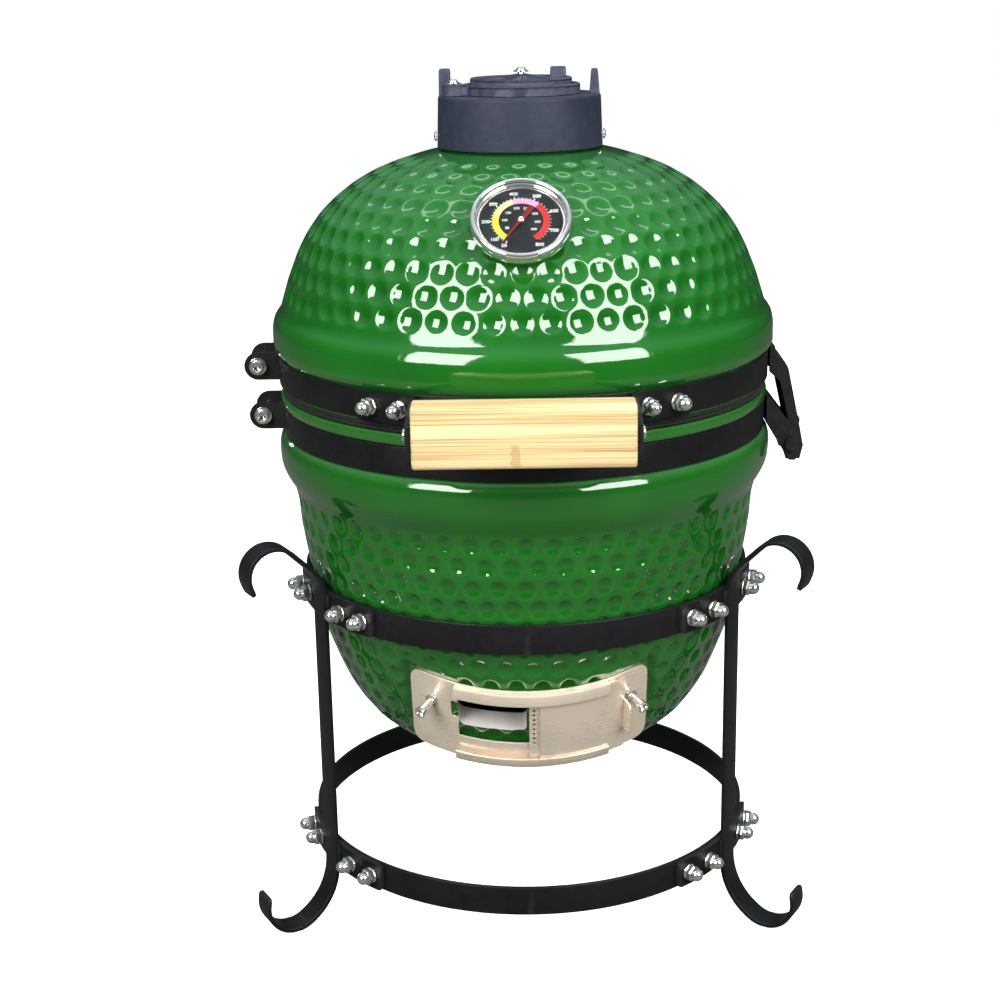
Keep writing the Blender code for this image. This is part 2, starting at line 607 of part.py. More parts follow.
def build_handle(lid):
    """The bamboo grip between two brackets that are bolted to the lid's band."""
    band_face = BAND_INNER["lid_band"] + BAND_THICKNESS
    low, high = BAND_Z["lid_band"], BAND_Z["lid_band"] + BAND_HEIGHT
    inner = band_face + CLEARANCE
    outer = inner + BRACKET_THICKNESS
    screw_y, screw_z = GRIP_SCREW_AT
    plate_face = BRACKET_PLATE_X + BRACKET_THICKNESS
    screw_hole = GRIP_SCREW_RADIUS + 0.4 * MM
    for side, sign in (("left", -1), ("right", 1)):
        near, far = sorted((sign * BRACKET_PLATE_X, sign * plate_face))
        shape = prism(in_metres(BRACKET_OUTLINE), near, far, "YZ")
        bracket = finish_mesh(f"handle_bracket_{side}", shape, "black_steel", lid)
        span = sorted(sign * angle for angle in BRACKET_ARC)
        join(bracket, turned(section(inner, outer, low, high), BAND_SEGMENTS, span), "flange")
        behind = inner * cos(radians(BRACKET_ARC[0]))
        clear_of_band = block((near - MM, -behind, low - MM), (far + MM, -behind + 20 * MM, high + MM))
        cut(bracket, clear_of_band, "band_clearance")
        start = sign * (GRIP_HALF_LENGTH - GRIP_SCREW_DEPTH)
        past_plate = sign * (plate_face + 5 * MM)
        hole = rod(screw_hole, (sign * 60 * MM, screw_y, screw_z), (past_plate, screw_y, screw_z))
        cut(bracket, hole, "screw_hole")
        head_seat = sign * (plate_face + CLEARANCE)
        shank = rod(GRIP_SCREW_RADIUS, (start, screw_y, screw_z), (head_seat + sign * MM, screw_y, screw_z))
        screw = finish_mesh(f"grip_screw_{side}", shank, "bright_steel", lid)
        head_end = head_seat + sign * 2.4 * MM
        join(screw, rod(4.2 * MM, (head_seat, screw_y, screw_z), (head_end, screw_y, screw_z), 12), "head")
        for number, angle in enumerate(BRACKET_BOLT_ANGLES, 1):
            placed = on_ring(sign * angle, outer + CLEARANCE, (low + high) / 2)
            acorn_nut(f"handle_nut_{side}_{number}", lid, placed)
    grip = block((-GRIP_HALF_LENGTH, GRIP_Y[0], GRIP_Z[0]), (GRIP_HALF_LENGTH, GRIP_Y[1], GRIP_Z[1]))
    grip = finish_mesh("handle_grip", grip, "bamboo", lid)
    bevel = grip.modifiers.new("eased_edges", "BEVEL")
    bevel.width = GRIP_BEVEL
    bevel.segments = 2
    for side, sign in (("left", -1), ("right", 1)):
        start = sign * (GRIP_HALF_LENGTH - GRIP_SCREW_DEPTH - MM)
        end = sign * (GRIP_HALF_LENGTH + MM)
        hole = rod(screw_hole, (start, screw_y, screw_z), (end, screw_y, screw_z))
        cut(grip, hole, f"{side}_screw_hole")


def build_lid(lid):
    """The upper half of the egg and its felt."""
    rim = [(EGG_INNER_RADIUS, SEAM_HIGH), (LID_RIM_RADIUS, SEAM_HIGH), (LID_RIM_RADIUS, SEAM_HIGH + 1.2 * MM)]
    groove = [(LID_GROOVE_RADIUS, SEAM_HIGH + 1.2 * MM), (LID_GROOVE_RADIUS, LID_GROOVE_TOP)]
    neck = [(NECK_RADIUS, 528.9 * MM), (NECK_RADIUS, NECK_TOP), (NECK_BORE, NECK_TOP)]
    outline = [*rim, *groove, *in_metres(LID_OUTSIDE), *neck, *in_metres(LID_INSIDE)]
    dome = finish_mesh("lid_dome", turned(outline), "green_glaze", lid)
    hole = rod(GAUGE_HOLE_RADIUS, (0, 0, -40 * MM), (0, 0, 20 * MM), 16)
    cut(dome, hole, "gauge_hole", gauge_frame())
    felt = section(FELT_INNER, FELT_OUTER, 370.9 * MM, 373.2 * MM)
    finish_mesh("lid_gasket", turned(felt, RING_SEGMENTS), "felt", lid)


def petal_cutters(low, high):
    """The wedge-shaped smoke holes of the swing plate and the wheel, in one ring."""
    wedges = []
    for i in range(PETALS):
        turn = 360 / PETALS * i
        inner = arc_points((0, 0), PETAL_INNER, spread(turn - PETAL_HALF_ANGLE, turn + PETAL_HALF_ANGLE, 1))
        wide = 1.6 * PETAL_HALF_ANGLE
        outer = arc_points((0, 0), PETAL_OUTER, spread(turn + wide, turn - wide, PETAL_STEPS))
        wedges.append(prism(inner + outer, low, high))
    return merged(*wedges)


def build_cap(lid, swing, wheel_pivot):
    """Cast-iron collar, the plate that swings off the chimney and the wheel that sets the smoke holes."""
    collar = finish_mesh("cap_collar", turned(in_metres(COLLAR_OUTLINE), RING_SEGMENTS), "cast_iron", lid)
    left = [(-54 * MM, 0), (-45.6 * MM, 0), (-45.6 * MM, 11 * MM), (-52.6 * MM, 11 * MM)]
    join(collar, prism(left, POST_FOOT, POST_TOP), "left_post")
    right = [(46.5, 560), (53.6, 560), (52.2, 579), (49.2, 579)]
    join(collar, prism(in_metres(right), -5 * MM, 5 * MM, "XZ"), "right_post")
    px, py = SWING_PIVOT
    cut(collar, rod(CAP_SCREW_RADIUS + 0.5 * MM, (px, py, 550 * MM), (px, py, 570 * MM)), "pivot_hole")
    for side, sign in (("left", -1), ("right", 1)):
        hole = rod(2.3 * MM, (sign * 49 * MM, 0, SIDE_SCREW_Z), (sign * 58 * MM, 0, SIDE_SCREW_Z))
        cut(collar, hole, f"{side}_screw_hole")
        shank = rod(1.8 * MM, (sign * 50.7 * MM, 0, SIDE_SCREW_Z), (sign * 56.5 * MM, 0, SIDE_SCREW_Z))
        screw = finish_mesh(f"collar_screw_{side}", shank, "bright_steel", lid)
        head = rod(3.4 * MM, (sign * 55.7 * MM, 0, SIDE_SCREW_Z), (sign * 57.6 * MM, 0, SIDE_SCREW_Z), 12)
        join(screw, head, "head")
    shank = rod(CAP_SCREW_RADIUS, (px, py, 556 * MM), (px, py, 572 * MM))
    pivot = finish_mesh("swing_pivot_screw", shank, "bright_steel", lid)
    join(pivot, rod(5 * MM, (px, py, SWING_BOSS_TOP + CLEARANCE), (px, py, 572.3 * MM), 16), "washer")
    join(pivot, rod(3.4 * MM, (px, py, 572 * MM), (px, py, 575 * MM), 12), "head")

    low, high = SWING_PLATE_Z
    centre = Matrix.Translation((CAP_CENTRE_X, 0, 0))
    plate = disc(SWING_PLATE_RADIUS, low, high)
    plate = finish_mesh("cap_swing_plate", plate, "cast_iron", swing, centre)
    cut(plate, petal_cutters(low - MM, high + MM), "smoke_holes", centre)
    bore = disc(CAP_SCREW_RADIUS + 0.6 * MM, low - MM, high + MM, FASTENER_SEGMENTS)
    cut(plate, bore, "screw_bore", centre)
    neck = [(px, py - 5 * MM), (-34 * MM, -16 * MM), (-34 * MM, -2 * MM), (px, py + 6 * MM)]
    join(plate, prism(neck, low, high), "neck")
    boss = section(2.5 * MM, SWING_BOSS_RADIUS, low, SWING_BOSS_TOP)
    join(plate, turned(boss, 16), "boss", Matrix.Translation((px, py, 0)))
    cut(plate, rod(2.5 * MM, (px, py, low - MM), (px, py, SWING_BOSS_TOP + MM)), "pivot_bore")
    shank = rod(CAP_SCREW_RADIUS, (CAP_CENTRE_X, 0, 564.2 * MM), (CAP_CENTRE_X, 0, 578 * MM))
    screw = finish_mesh("wheel_screw", shank, "bright_steel", swing)
    washer = rod(5 * MM, (CAP_CENTRE_X, 0, 577.5 * MM), (CAP_CENTRE_X, 0, 578.4 * MM), 16)
    join(screw, washer, "washer")
    join(screw, rod(3.4 * MM, (CAP_CENTRE_X, 0, 578.2 * MM), (CAP_CENTRE_X, 0, 581 * MM), 12), "head")

    wheel = turned(in_metres(WHEEL_OUTLINE), RING_SEGMENTS)
    wheel = finish_mesh("daisy_wheel", wheel, "cast_iron", wheel_pivot, centre)
    cut(wheel, petal_cutters(568 * MM, 580 * MM), "smoke_holes", centre)
    (tx, ty), (sx, sy) = WHEEL_TAB_AT, WHEEL_TAB_SIZE
    tab = block((tx - sx / 2, ty - sy / 2, WHEEL_TAB_Z[0]), (tx + sx / 2, ty + sy / 2, WHEEL_TAB_Z[1]))
    join(wheel, tab, "tab", centre)


def gauge_frame():
    """Placement of the thermometer: its +Z is the normal of the lid there."""
    return Matrix.Translation(GAUGE_AT) @ Matrix.Rotation(radians(90 - GAUGE_TILT), 4, "X")


def build_thermometer(lid, needle_pivot):
    """Steel case with its stem, dial, needle, lens and the nut inside the lid."""
    placed = gauge_frame()
    case = turned(in_metres(GAUGE_CASE), SMALL_SEGMENTS, closed=False)
    case = finish_mesh("thermometer_case", case, "bright_steel", lid, placed)
    join(case, rod(GAUGE_STEM_RADIUS, (0, 0, GAUGE_STEM_END), (0, 0, 2 * MM), 12), "stem", placed)
    finish_mesh("thermometer_dial", disc(DIAL_RADIUS, *DIAL_Z, SMALL_SEGMENTS), "dial_black", lid, placed)
    finish_mesh("thermometer_lens", disc(DIAL_RADIUS, *LENS_Z, SMALL_SEGMENTS), "lens", lid, placed)
    waist, tail = NEEDLE_HALF_WIDTHS
    hand = [(0, NEEDLE_LENGTH), (-waist, 0), (-tail, -NEEDLE_TAIL), (tail, -NEEDLE_TAIL), (waist, 0)]
    bearing = Matrix.Rotation(radians(-NEEDLE_BEARING), 4, "Z")
    hand = prism(hand, *NEEDLE_Z)
    needle = finish_mesh("thermometer_needle", hand, "needle_red", needle_pivot, placed @ bearing)
    hub = rod(2.4 * MM, (0, 0, 5.2 * MM), (0, 0, NEEDLE_Z[1] + 0.5 * MM), 16)
    join(needle, hub, "hub", placed)
    nut = rod(8 * MM, (0, 0, -18.6 * MM), (0, 0, -14.6 * MM), 6)
    nut = finish_mesh("thermometer_nut", nut, "bright_steel", lid, placed)
    cut(nut, rod(GAUGE_STEM_RADIUS + 0.4 * MM, (0, 0, -20 * MM), (0, 0, -13 * MM), 12), "bore", placed)


def arc_angle(length):
    """Degrees of azimuth that an arc of this length takes on the draught door's cylinder."""
    return degrees(length / VENT_RADIUS)


def bent(offset, thickness, arc, span):
    """A sheet bent round the draught door's axis, that far outside the frame's face."""
    inner = VENT_RADIUS + offset
    outer = inner + thickness
    outline = [(inner, span[0]), (outer, span[0]), (outer, span[1]), (inner, span[1])]
    return turned(outline, 96, arc=[arc_angle(arc[0]), arc_angle(arc[1])])


def rail_section(edge, inward, lip):
    """Section of a rail: a web that stands on the frame along one edge, and a lip that turns inward."""
    root = VENT_RADIUS - VENT_PLATE_THICKNESS / 2
    inside = VENT_RADIUS + RAIL_LIP_OFFSET
    outside = inside + RAIL_FOLD
    web = edge + inward * RAIL_FOLD
    tip = edge + inward * lip
    return [(root, edge), (outside, edge), (outside, tip), (inside, tip), (inside, web), (root, web)]


def build_vent(body, door_pivot, screen_pivot):
    """The draught door: frame with rails, sliding door, sliding ember screen and two studs."""
    placed = frame_of(door_pivot)
    plate = bent(-VENT_PLATE_THICKNESS, VENT_PLATE_THICKNESS, VENT_PLATE_ARC, VENT_PLATE_Z)
    frame = finish_mesh("vent_frame", plate, "stainless", body, placed)
    low, high = VENT_PLATE_Z
    edges = (("top_rail", high - RAIL_INSET, -1), ("bottom_rail", low + RAIL_INSET, 1))
    for label, edge, inward in edges:
        rail = rail_section(edge, inward, RAIL_LIP[label])
        span = [arc_angle(length) for length in RAIL_ARC]
        join(frame, turned(rail, 96, arc=span), label, placed)
    window = prism(in_metres(VENT_WINDOW), -VENT_RADIUS - MM, -VENT_RADIUS * 0.85, "XZ")
    cut(frame, window, "window", placed)

    screen = bent(SCREEN_OFFSET, SHEET, SCREEN_ARC, SLIDE_Z)
    screen = finish_mesh("vent_screen", screen, "stainless", screen_pivot, placed)
    across, up = SCREEN_HOLES
    holes = []
    for i in range(across):
        azimuth = arc_angle(SCREEN_ARC[0] + 5.5 * MM + i * 11 * MM)
        for j in range(up):
            level = -9 * MM + j * 7 * MM
            near, far = -VENT_RADIUS + 4 * MM, -VENT_RADIUS - 4 * MM
            hole = rod(SCREEN_HOLE_RADIUS, (0, far, level), (0, near, level), 5)
            hole.transform(facing(azimuth))
            holes.append(hole)
    cut(screen, merged(*holes), "holes", placed)

    door = bent(DOOR_OFFSET, SHEET, DOOR_ARC, SLIDE_Z)
    door = finish_mesh("vent_door", door, "stainless", door_pivot, placed)
    edge = (DOOR_ARC[1] - 1.2 * MM, DOOR_ARC[1])
    half = PULL_HEIGHT / 2
    join(door, bent(DOOR_OFFSET + 0.2 * MM, PULL_DEPTH, edge, (-half, half)), "pull", placed)

    for name, (arc, level) in STUD_AT.items():
        base = placed @ on_ring(arc_angle(arc), VENT_RADIUS + CLEARANCE, level)
        sleeve = in_metres([(0, 0), (4.4, 0), (3.2, 1.4), (2.8, 11), (4, 12), (4, 15), (0, 15)])
        finish_mesh(name, turned(sleeve, 12, closed=False), "bright_steel", body, base)


def build():
    """Build the whole grill."""
    clear_scene()
    grill = make_empty("grill", ORIGIN_SHIFT)
    lid = make_empty("lid_hinge_axis", (HINGE_X, 0, HINGE_Z), grill)
    px, py = SWING_PIVOT
    swing = make_empty("cap_pivot_axis", (px - HINGE_X, py, COLLAR_DECK_Z - HINGE_Z), lid)
    wheel = make_empty("daisy_wheel_axis", (CAP_CENTRE_X - px, -py, 0), swing)
    gauge = gauge_frame()
    offset = gauge.translation - Vector((HINGE_X, 0, HINGE_Z))
    needle = make_empty("needle_axis", offset, lid, gauge.to_euler())
    lean = radians(VENT_TILT)
    towards_axis = Vector((0, cos(lean), sin(lean)))
    vent_at = Vector(VENT_FACE_AT) + VENT_RADIUS * towards_axis
    door = make_empty("vent_door_axis", vent_at, grill, (lean, 0, 0))
    screen = make_empty("vent_screen_axis", vent_at, grill, (lean, 0, 0))

    build_stand(grill)
    build_bowl(grill, door)
    build_inside(grill)
    build_band("base_band", grill)
    build_lid(lid)
    build_band("lid_band", lid)
    build_hinge(grill, lid)
    build_handle(lid)
    build_cap(lid, swing, wheel)
    build_thermometer(lid, needle)
    build_vent(grill, door, screen)


build()
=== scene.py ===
"""Looks of the small kamado grill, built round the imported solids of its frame."""

import json
import logging
import math
from dataclasses import dataclass, field
from enum import Enum

import bmesh
import bpy
import numpy as np
from mathutils import Matrix, Vector
from mathutils.geometry import tessellate_polygon

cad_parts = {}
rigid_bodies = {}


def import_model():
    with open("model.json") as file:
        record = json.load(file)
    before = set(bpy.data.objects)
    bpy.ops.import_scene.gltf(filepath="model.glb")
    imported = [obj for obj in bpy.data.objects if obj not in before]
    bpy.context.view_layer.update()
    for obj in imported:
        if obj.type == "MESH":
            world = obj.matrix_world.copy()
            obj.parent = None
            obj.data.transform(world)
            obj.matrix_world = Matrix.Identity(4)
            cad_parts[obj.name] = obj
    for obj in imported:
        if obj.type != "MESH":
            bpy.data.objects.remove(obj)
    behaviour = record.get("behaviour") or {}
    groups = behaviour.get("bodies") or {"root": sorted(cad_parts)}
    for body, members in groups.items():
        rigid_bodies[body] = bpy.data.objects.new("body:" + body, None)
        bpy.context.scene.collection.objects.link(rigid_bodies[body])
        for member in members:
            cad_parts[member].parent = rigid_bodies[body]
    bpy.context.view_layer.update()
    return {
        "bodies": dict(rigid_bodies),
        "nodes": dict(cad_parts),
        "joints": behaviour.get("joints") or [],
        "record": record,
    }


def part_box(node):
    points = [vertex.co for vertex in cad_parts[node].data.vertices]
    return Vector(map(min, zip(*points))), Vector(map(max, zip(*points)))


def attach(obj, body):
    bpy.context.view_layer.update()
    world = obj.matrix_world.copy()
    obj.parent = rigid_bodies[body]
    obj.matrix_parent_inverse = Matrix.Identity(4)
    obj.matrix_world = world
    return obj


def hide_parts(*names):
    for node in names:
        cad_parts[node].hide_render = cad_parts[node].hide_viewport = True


MM = 0.001
Point = tuple[float, float]
Outline = list[Point]
Triple = tuple[float, float, float]

log = logging.getLogger("kamado")


class Body(Enum):
    """The moving bodies of the frame."""

    BASE = "base"
    LID = "lid"
    SWING = "swing_plate"
    WHEEL = "daisy_wheel"
    NEEDLE = "needle"
    DOOR = "vent_door"
    SCREEN = "vent_screen"


class Plane(Enum):
    """The plane an outline is drawn in, before it is given a thickness along that plane's normal."""

    XY = 0
    XZ = 1
    YZ = 2


# ---------------------------------------------------------------- outlines and paths


def arc_points(centre: Point, radius: float, start: float, end: float, steps: int) -> Outline:
    """Points of an arc in the plane.

    Args:
        centre: Centre of the arc.
        radius: Radius of the arc.
        start: First angle in degrees.
        end: Last angle in degrees.
        steps: Number of equal steps between them.

    Returns:
        The arc's points, both ends included.
    """
    angles = [math.radians(start + (end - start) * i / steps) for i in range(steps + 1)]
    return [(centre[0] + radius * math.cos(a), centre[1] + radius * math.sin(a)) for a in angles]


def rectangle(left: float, low: float, right: float, high: float) -> Outline:
    """The outline of a rectangle."""
    return [(left, low), (right, low), (right, high), (left, high)]


def rounded(outline: Outline, radius: float | list[float], steps: int = 3) -> Outline:
    """Round every corner of a closed outline.

    Args:
        outline: Corners of the outline, in order.
        radius: Radius of the rounding, or one for each corner; smaller where an edge is too short for it.
        steps: Steps in each rounded corner.

    Returns:
        The outline with an arc in place of each corner.
    """
    made: Outline = []
    count = len(outline)
    for i, corner in enumerate(outline):
        here = Vector(corner)
        before = Vector(outline[i - 1]) - here
        after = Vector(outline[(i + 1) % count]) - here
        wanted = radius[i] if isinstance(radius, list) else radius
        reach = min(wanted, before.length * 0.49, after.length * 0.49)
        first = here + before.normalized() * reach
        last = here + after.normalized() * reach
        for k in range(steps + 1):
            t = k / steps
            point = first * (1 - t) ** 2 + here * 2 * t * (1 - t) + last * t * t
            made.append((point.x, point.y))
    return made


def smooth_curve(points: Outline, step: float) -> np.ndarray:
    """A smooth curve through points, sampled at an even spacing.

    Args:
        points: Points that the curve passes through.
        step: Distance between samples, roughly.

    Returns:
        The samples, one row each.
    """
    given = np.array(points, float)
    chord = np.concatenate([[0], np.cumsum(np.linalg.norm(np.diff(given, axis=0), axis=1))])
    slope = np.gradient(given, chord, axis=0)
    dense = np.linspace(0, chord[-1], max(8, int(chord[-1] / step * 4)))
    index = np.clip(np.searchsorted(chord, dense, side="right") - 1, 0, len(chord) - 2)
    width = (chord[index + 1] - chord[index])[:, None]
    t = ((dense - chord[index]) / width[:, 0])[:, None]
    curve = (
        (2 * t**3 - 3 * t**2 + 1) * given[index]
        + (t**3 - 2 * t**2 + t) * width * slope[index]
        + (-2 * t**3 + 3 * t**2) * given[index + 1]
        + (t**3 - t**2) * width * slope[index + 1]
    )
    length = np.concatenate([[0], np.cumsum(np.linalg.norm(np.diff(curve, axis=0), axis=1))])
    even = np.linspace(0, length[-1], max(4, round(length[-1] / step)) + 1)
    return np.stack([np.interp(even, length, curve[:, k]) for k in (0, 1)], axis=1)


def scaled(points: Outline) -> Outline:
    """Turn millimetre pairs into metres."""
    return [(a * MM, b * MM) for a, b in points]


def facing(azimuth: float) -> Matrix:
    """The turn about Z that brings something at -Y round to an azimuth in degrees."""
    return Matrix.Rotation(math.radians(azimuth), 4, "Z")


def standing_out(azimuth: float, radius: float, height: float) -> Matrix:
    """Placement on a ring, with +Z pointing away from the egg's axis."""
    return facing(azimuth) @ Matrix.Translation((0, -radius, height)) @ Matrix.Rotation(math.pi / 2, 4, "X")


# ---------------------------------------------------------------- meshes


class Draft:
    """The mesh of one piece while it is being made, in metres in the egg's own frame."""

    def __init__(self) -> None:
        """Start with nothing in it."""
        self.bm = bmesh.new()

    def _place(self, start: int, place: Matrix | None) -> None:
        """Move the vertices added since start.

        Args:
            start: Number of vertices before they were added.
            place: Where they go, or None to leave them.
        """
        if place is not None:
            self.bm.verts.ensure_lookup_table()
            bmesh.ops.transform(self.bm, matrix=place, verts=self.bm.verts[start:])

    def skin(self, rings: list[list[Vector]], closed: bool = False, place: Matrix | None = None) -> "Draft":
        """Skin a row of closed loops.

        Args:
            rings: Loops with the same number of points each.
            closed: Whether the last loop joins the first; otherwise both ends are capped.
            place: Where the shape goes.

        Returns:
            This draft.
        """
        start = len(self.bm.verts)
        rows = [[self.bm.verts.new(p) for p in ring] for ring in rings]
        pairs = list(zip(rows, rows[1:])) + ([(rows[-1], rows[0])] if closed else [])
        count = len(rows[0])
        for here, there in pairs:
            for i in range(count):
                j = (i + 1) % count
                self.bm.faces.new((here[i], here[j], there[j], there[i]))
        if not closed:
            self.bm.faces.new(rows[0][::-1])
            self.bm.faces.new(rows[-1])
        self._place(start, place)
        return self

    def turn(
        self,
        outline: Outline,
        segments: int = 96,
        arc: Point | None = None,
        place: Matrix | None = None,
    ) -> "Draft":
        """Spin a closed outline of (radius, height) about Z.

        Args:
            outline: The closed section; points may lie on the axis.
            segments: Steps in a full turn.
            arc: First and last azimuth in degrees, or None for a full turn.
            place: Where the shape goes.

        Returns:
            This draft.
        """
        first, last = arc or (0.0, 360.0)
        steps = max(2, round(segments * (last - first) / 360))
        angles = [math.radians(first + (last - first) * i / steps) - math.pi / 2 for i in range(steps + 1)]
        if not arc:
            angles.pop()
        outline = [(max(r, 1e-7), z) for r, z in outline]
        rings = [[Vector((r * math.cos(a), r * math.sin(a), z)) for r, z in outline] for a in angles]
        return self.skin(rings, closed=not arc, place=place)

    def plate(
        self,
        outline: Outline,
        low: float,
        high: float,
        plane: Plane = Plane.XY,
        holes: list[Outline] | None = None,
        place: Matrix | None = None,
    ) -> "Draft":
        """Give an outline with holes a thickness along its plane's normal.

        Args:
            outline: The outer edge.
            low: Where the plate starts along the normal.
            high: Where it ends.
            plane: The plane of the outline.
            holes: Edges of holes, each inside the outer edge.
            place: Where the shape goes.

        Returns:
            This draft.
        """
        order = {Plane.XY: (0, 1, 2), Plane.XZ: (0, 2, 1), Plane.YZ: (1, 2, 0)}[plane]
        start = len(self.bm.verts)
        loops = [outline, *(holes or [])]
        flat = [point for loop in loops for point in loop]
        sides = []
        for level in (low, high):
            row = []
            for a, b in flat:
                spot = [0.0, 0.0, 0.0]
                spot[order[0]], spot[order[1]], spot[order[2]] = a, b, level
                row.append(self.bm.verts.new(spot))
            sides.append(row)
        for triangle in tessellate_polygon([[Vector((a, b, 0)) for a, b in loop] for loop in loops]):
            for row in sides:
                if len(set(triangle)) == 3:
                    self.bm.faces.new([row[i] for i in triangle])
        first = 0
        for loop in loops:
            count = len(loop)
            for i in range(count):
                a, b = first + i, first + (i + 1) % count
                self.bm.faces.new((sides[0][a], sides[0][b], sides[1][b], sides[1][a]))
            first += count
        self._place(start, place)
        return self

    def strip(
        self,
        path: Outline,
        thickness: float,
        width: float,
        ease: float,
        clip: float = 0.0,
        place: Matrix | None = None,
    ) -> "Draft":
        """Sweep a flat bar along a path of (distance out, height), centred on the plane of azimuth 0.

        Args:
            path: The bar's centre line.
            thickness: The bar's thickness, across the path in its plane.
            width: The bar's width.
            ease: Radius of its four long edges.
            clip: Size of the cut corners at both ends.
            place: Where the bar goes.

        Returns:
            This draft.
        """
        line = np.array(path, float)
        for _ in range(2 if clip else 0):
            back = (line[1] - line[0]) / np.linalg.norm(line[1] - line[0])
            line = np.vstack([line[0], line[0] + back * clip, line[1:]])[::-1]
        forward = np.gradient(line, axis=0)
        forward /= np.linalg.norm(forward, axis=1)[:, None]
        normal = np.stack([-forward[:, 1], forward[:, 0]], axis=1)
        corners = rectangle(-width / 2, -thickness / 2, width / 2, thickness / 2)
        section = rounded(corners, ease, 3)
        rings = []
        last = len(line) - 1
        for i, (spot, out) in enumerate(zip(line, normal)):
            share = 1.0
            if clip and i in (0, last):
                share = 1 - 2 * clip * 0.55 / width
            ring = []
            for across, up in section:
                r, z = spot + out * up
                ring.append(Vector((across * share, -r, z)))
            rings.append(ring)
        return self.skin(rings, place=place)

    def rod(self, radius: float, start: Vector, end: Vector, sides: int = 24) -> "Draft":
        """Add a round rod between two points.

        Args:
            radius: The rod's radius.
            start: Centre of its first end.
            end: Centre of its other end.
            sides: Number of its sides.

        Returns:
            This draft.
        """
        axis = end - start
        turn = axis.to_track_quat("Z", "Y").to_matrix().to_4x4()
        outline = rounded(rectangle(0, 0, radius, axis.length), radius * 0.12, 2)
        return self.turn(outline, sides, place=Matrix.Translation(start) @ turn)

    def slice(self, axis: int, positions: list[float]) -> "Draft":
        """Cut edges through the mesh at positions along X, Y or Z, so that it can be bent there.

        Args:
            axis: 0, 1 or 2 for X, Y or Z.
            positions: Where the cuts lie along that axis.

        Returns:
            This draft.
        """
        for position in positions:
            normal = [0.0, 0.0, 0.0]
            normal[axis] = 1.0
            spot = [0.0, 0.0, 0.0]
            spot[axis] = position
            geometry = list(self.bm.verts) + list(self.bm.edges) + list(self.bm.faces)
            bmesh.ops.bisect_plane(self.bm, geom=geometry, plane_co=spot, plane_no=normal, dist=1e-7)
        return self

    def bend(self, radius: float, place: Matrix) -> "Draft":
        """Bend a flat sheet round Z: X becomes the arc's length at this radius, and -Y the way out.

        Args:
            radius: The bend's radius.
            place: Where the bent sheet goes.

        Returns:
            This draft.
        """
        for vertex in self.bm.verts:
            arc, depth, height = vertex.co
            angle = arc / radius
            out = radius - depth
            vertex.co = Vector((out * math.sin(angle), -out * math.cos(angle), height))
        self.bm.transform(place)
        return self

    def absorb(self, other: "Draft") -> None:
        """Take over another draft's mesh.

        Args:
            other: The other draft, which is used up.
        """
        mesh = bpy.data.meshes.new("part")
        other.bm.to_mesh(mesh)
        other.bm.free()
        self.bm.from_mesh(mesh)
        bpy.data.meshes.remove(mesh)


def soften(piece: bpy.types.Object, width: float, angle: float, harden: bool = True) -> None:
    """Bevel a piece's sharp edges.

    Args:
        piece: The piece.
        width: Width of the bevel.
        angle: Angle in degrees above which an edge is bevelled.
        harden: Whether the faces next to a bevel keep their own shading.
    """
    softened = piece.modifiers.new("softened_edges", "BEVEL")
    softened.width = width
    softened.segments = 2
    softened.limit_method = "ANGLE"
    softened.angle_limit = math.radians(angle)
    softened.harden_normals = harden


def dress(solid: bpy.types.Object, finish: bpy.types.Material) -> None:
    """Give a solid that stays a finish."""
    solid.data.materials.clear()
    solid.data.materials.append(finish)


@dataclass
class Egg:
    """The shared origin of every piece: the egg's upright axis, found from the stand's foot ring."""

    x: float
    y: float

    @classmethod
    def found(cls) -> "Egg":
        """Read the axis from the frame."""
        low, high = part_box("foot_ring")
        return cls((low.x + high.x) / 2, (low.y + high.y) / 2)

    def add(
        self,
        name: str,
        draft: Draft,
        finish: bpy.types.Material,
        body: Body,
        replaces: tuple[str, ...] = (),
        bevel: float = 0.0,
        more: tuple[bpy.types.Material, ...] = (),
        crease: float = 38.0,
        slot: str = "",
    ) -> bpy.types.Object:
        """Turn a draft into a piece that rides on a body.

        Args:
            name: The piece's name.
            draft: Its mesh.
            finish: Its material.
            body: The body it moves with.
            replaces: CAD nodes that it stands for.
            bevel: Width of the softened edges, or 0 for none.
            more: Further materials, by index on the faces.
            crease: Angle in degrees above which an edge stays sharp.
            slot: The record's material slot, where it isn't the finish's own name; not used.

        Returns:
            The new object.
        """
        bm = draft.bm
        bmesh.ops.recalc_face_normals(bm, faces=bm.faces)
        mesh = bpy.data.meshes.new(name)
        bm.to_mesh(mesh)
        bm.free()
        mesh.transform(Matrix.Translation((self.x, self.y, 0)))
        mesh.shade_smooth()
        mesh.set_sharp_from_angle(angle=math.radians(crease))
        for material in (finish, *more):
            mesh.materials.append(material)
        piece = bpy.data.objects.new(name, mesh)
        bpy.context.scene.collection.objects.link(piece)
        if bevel:
            soften(piece, bevel, crease)
        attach(piece, body.value)
        if replaces:
            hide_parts(*replaces)
        log.info("%s rides on %s", name, body.value)
        return piece


# ---------------------------------------------------------------- finishes


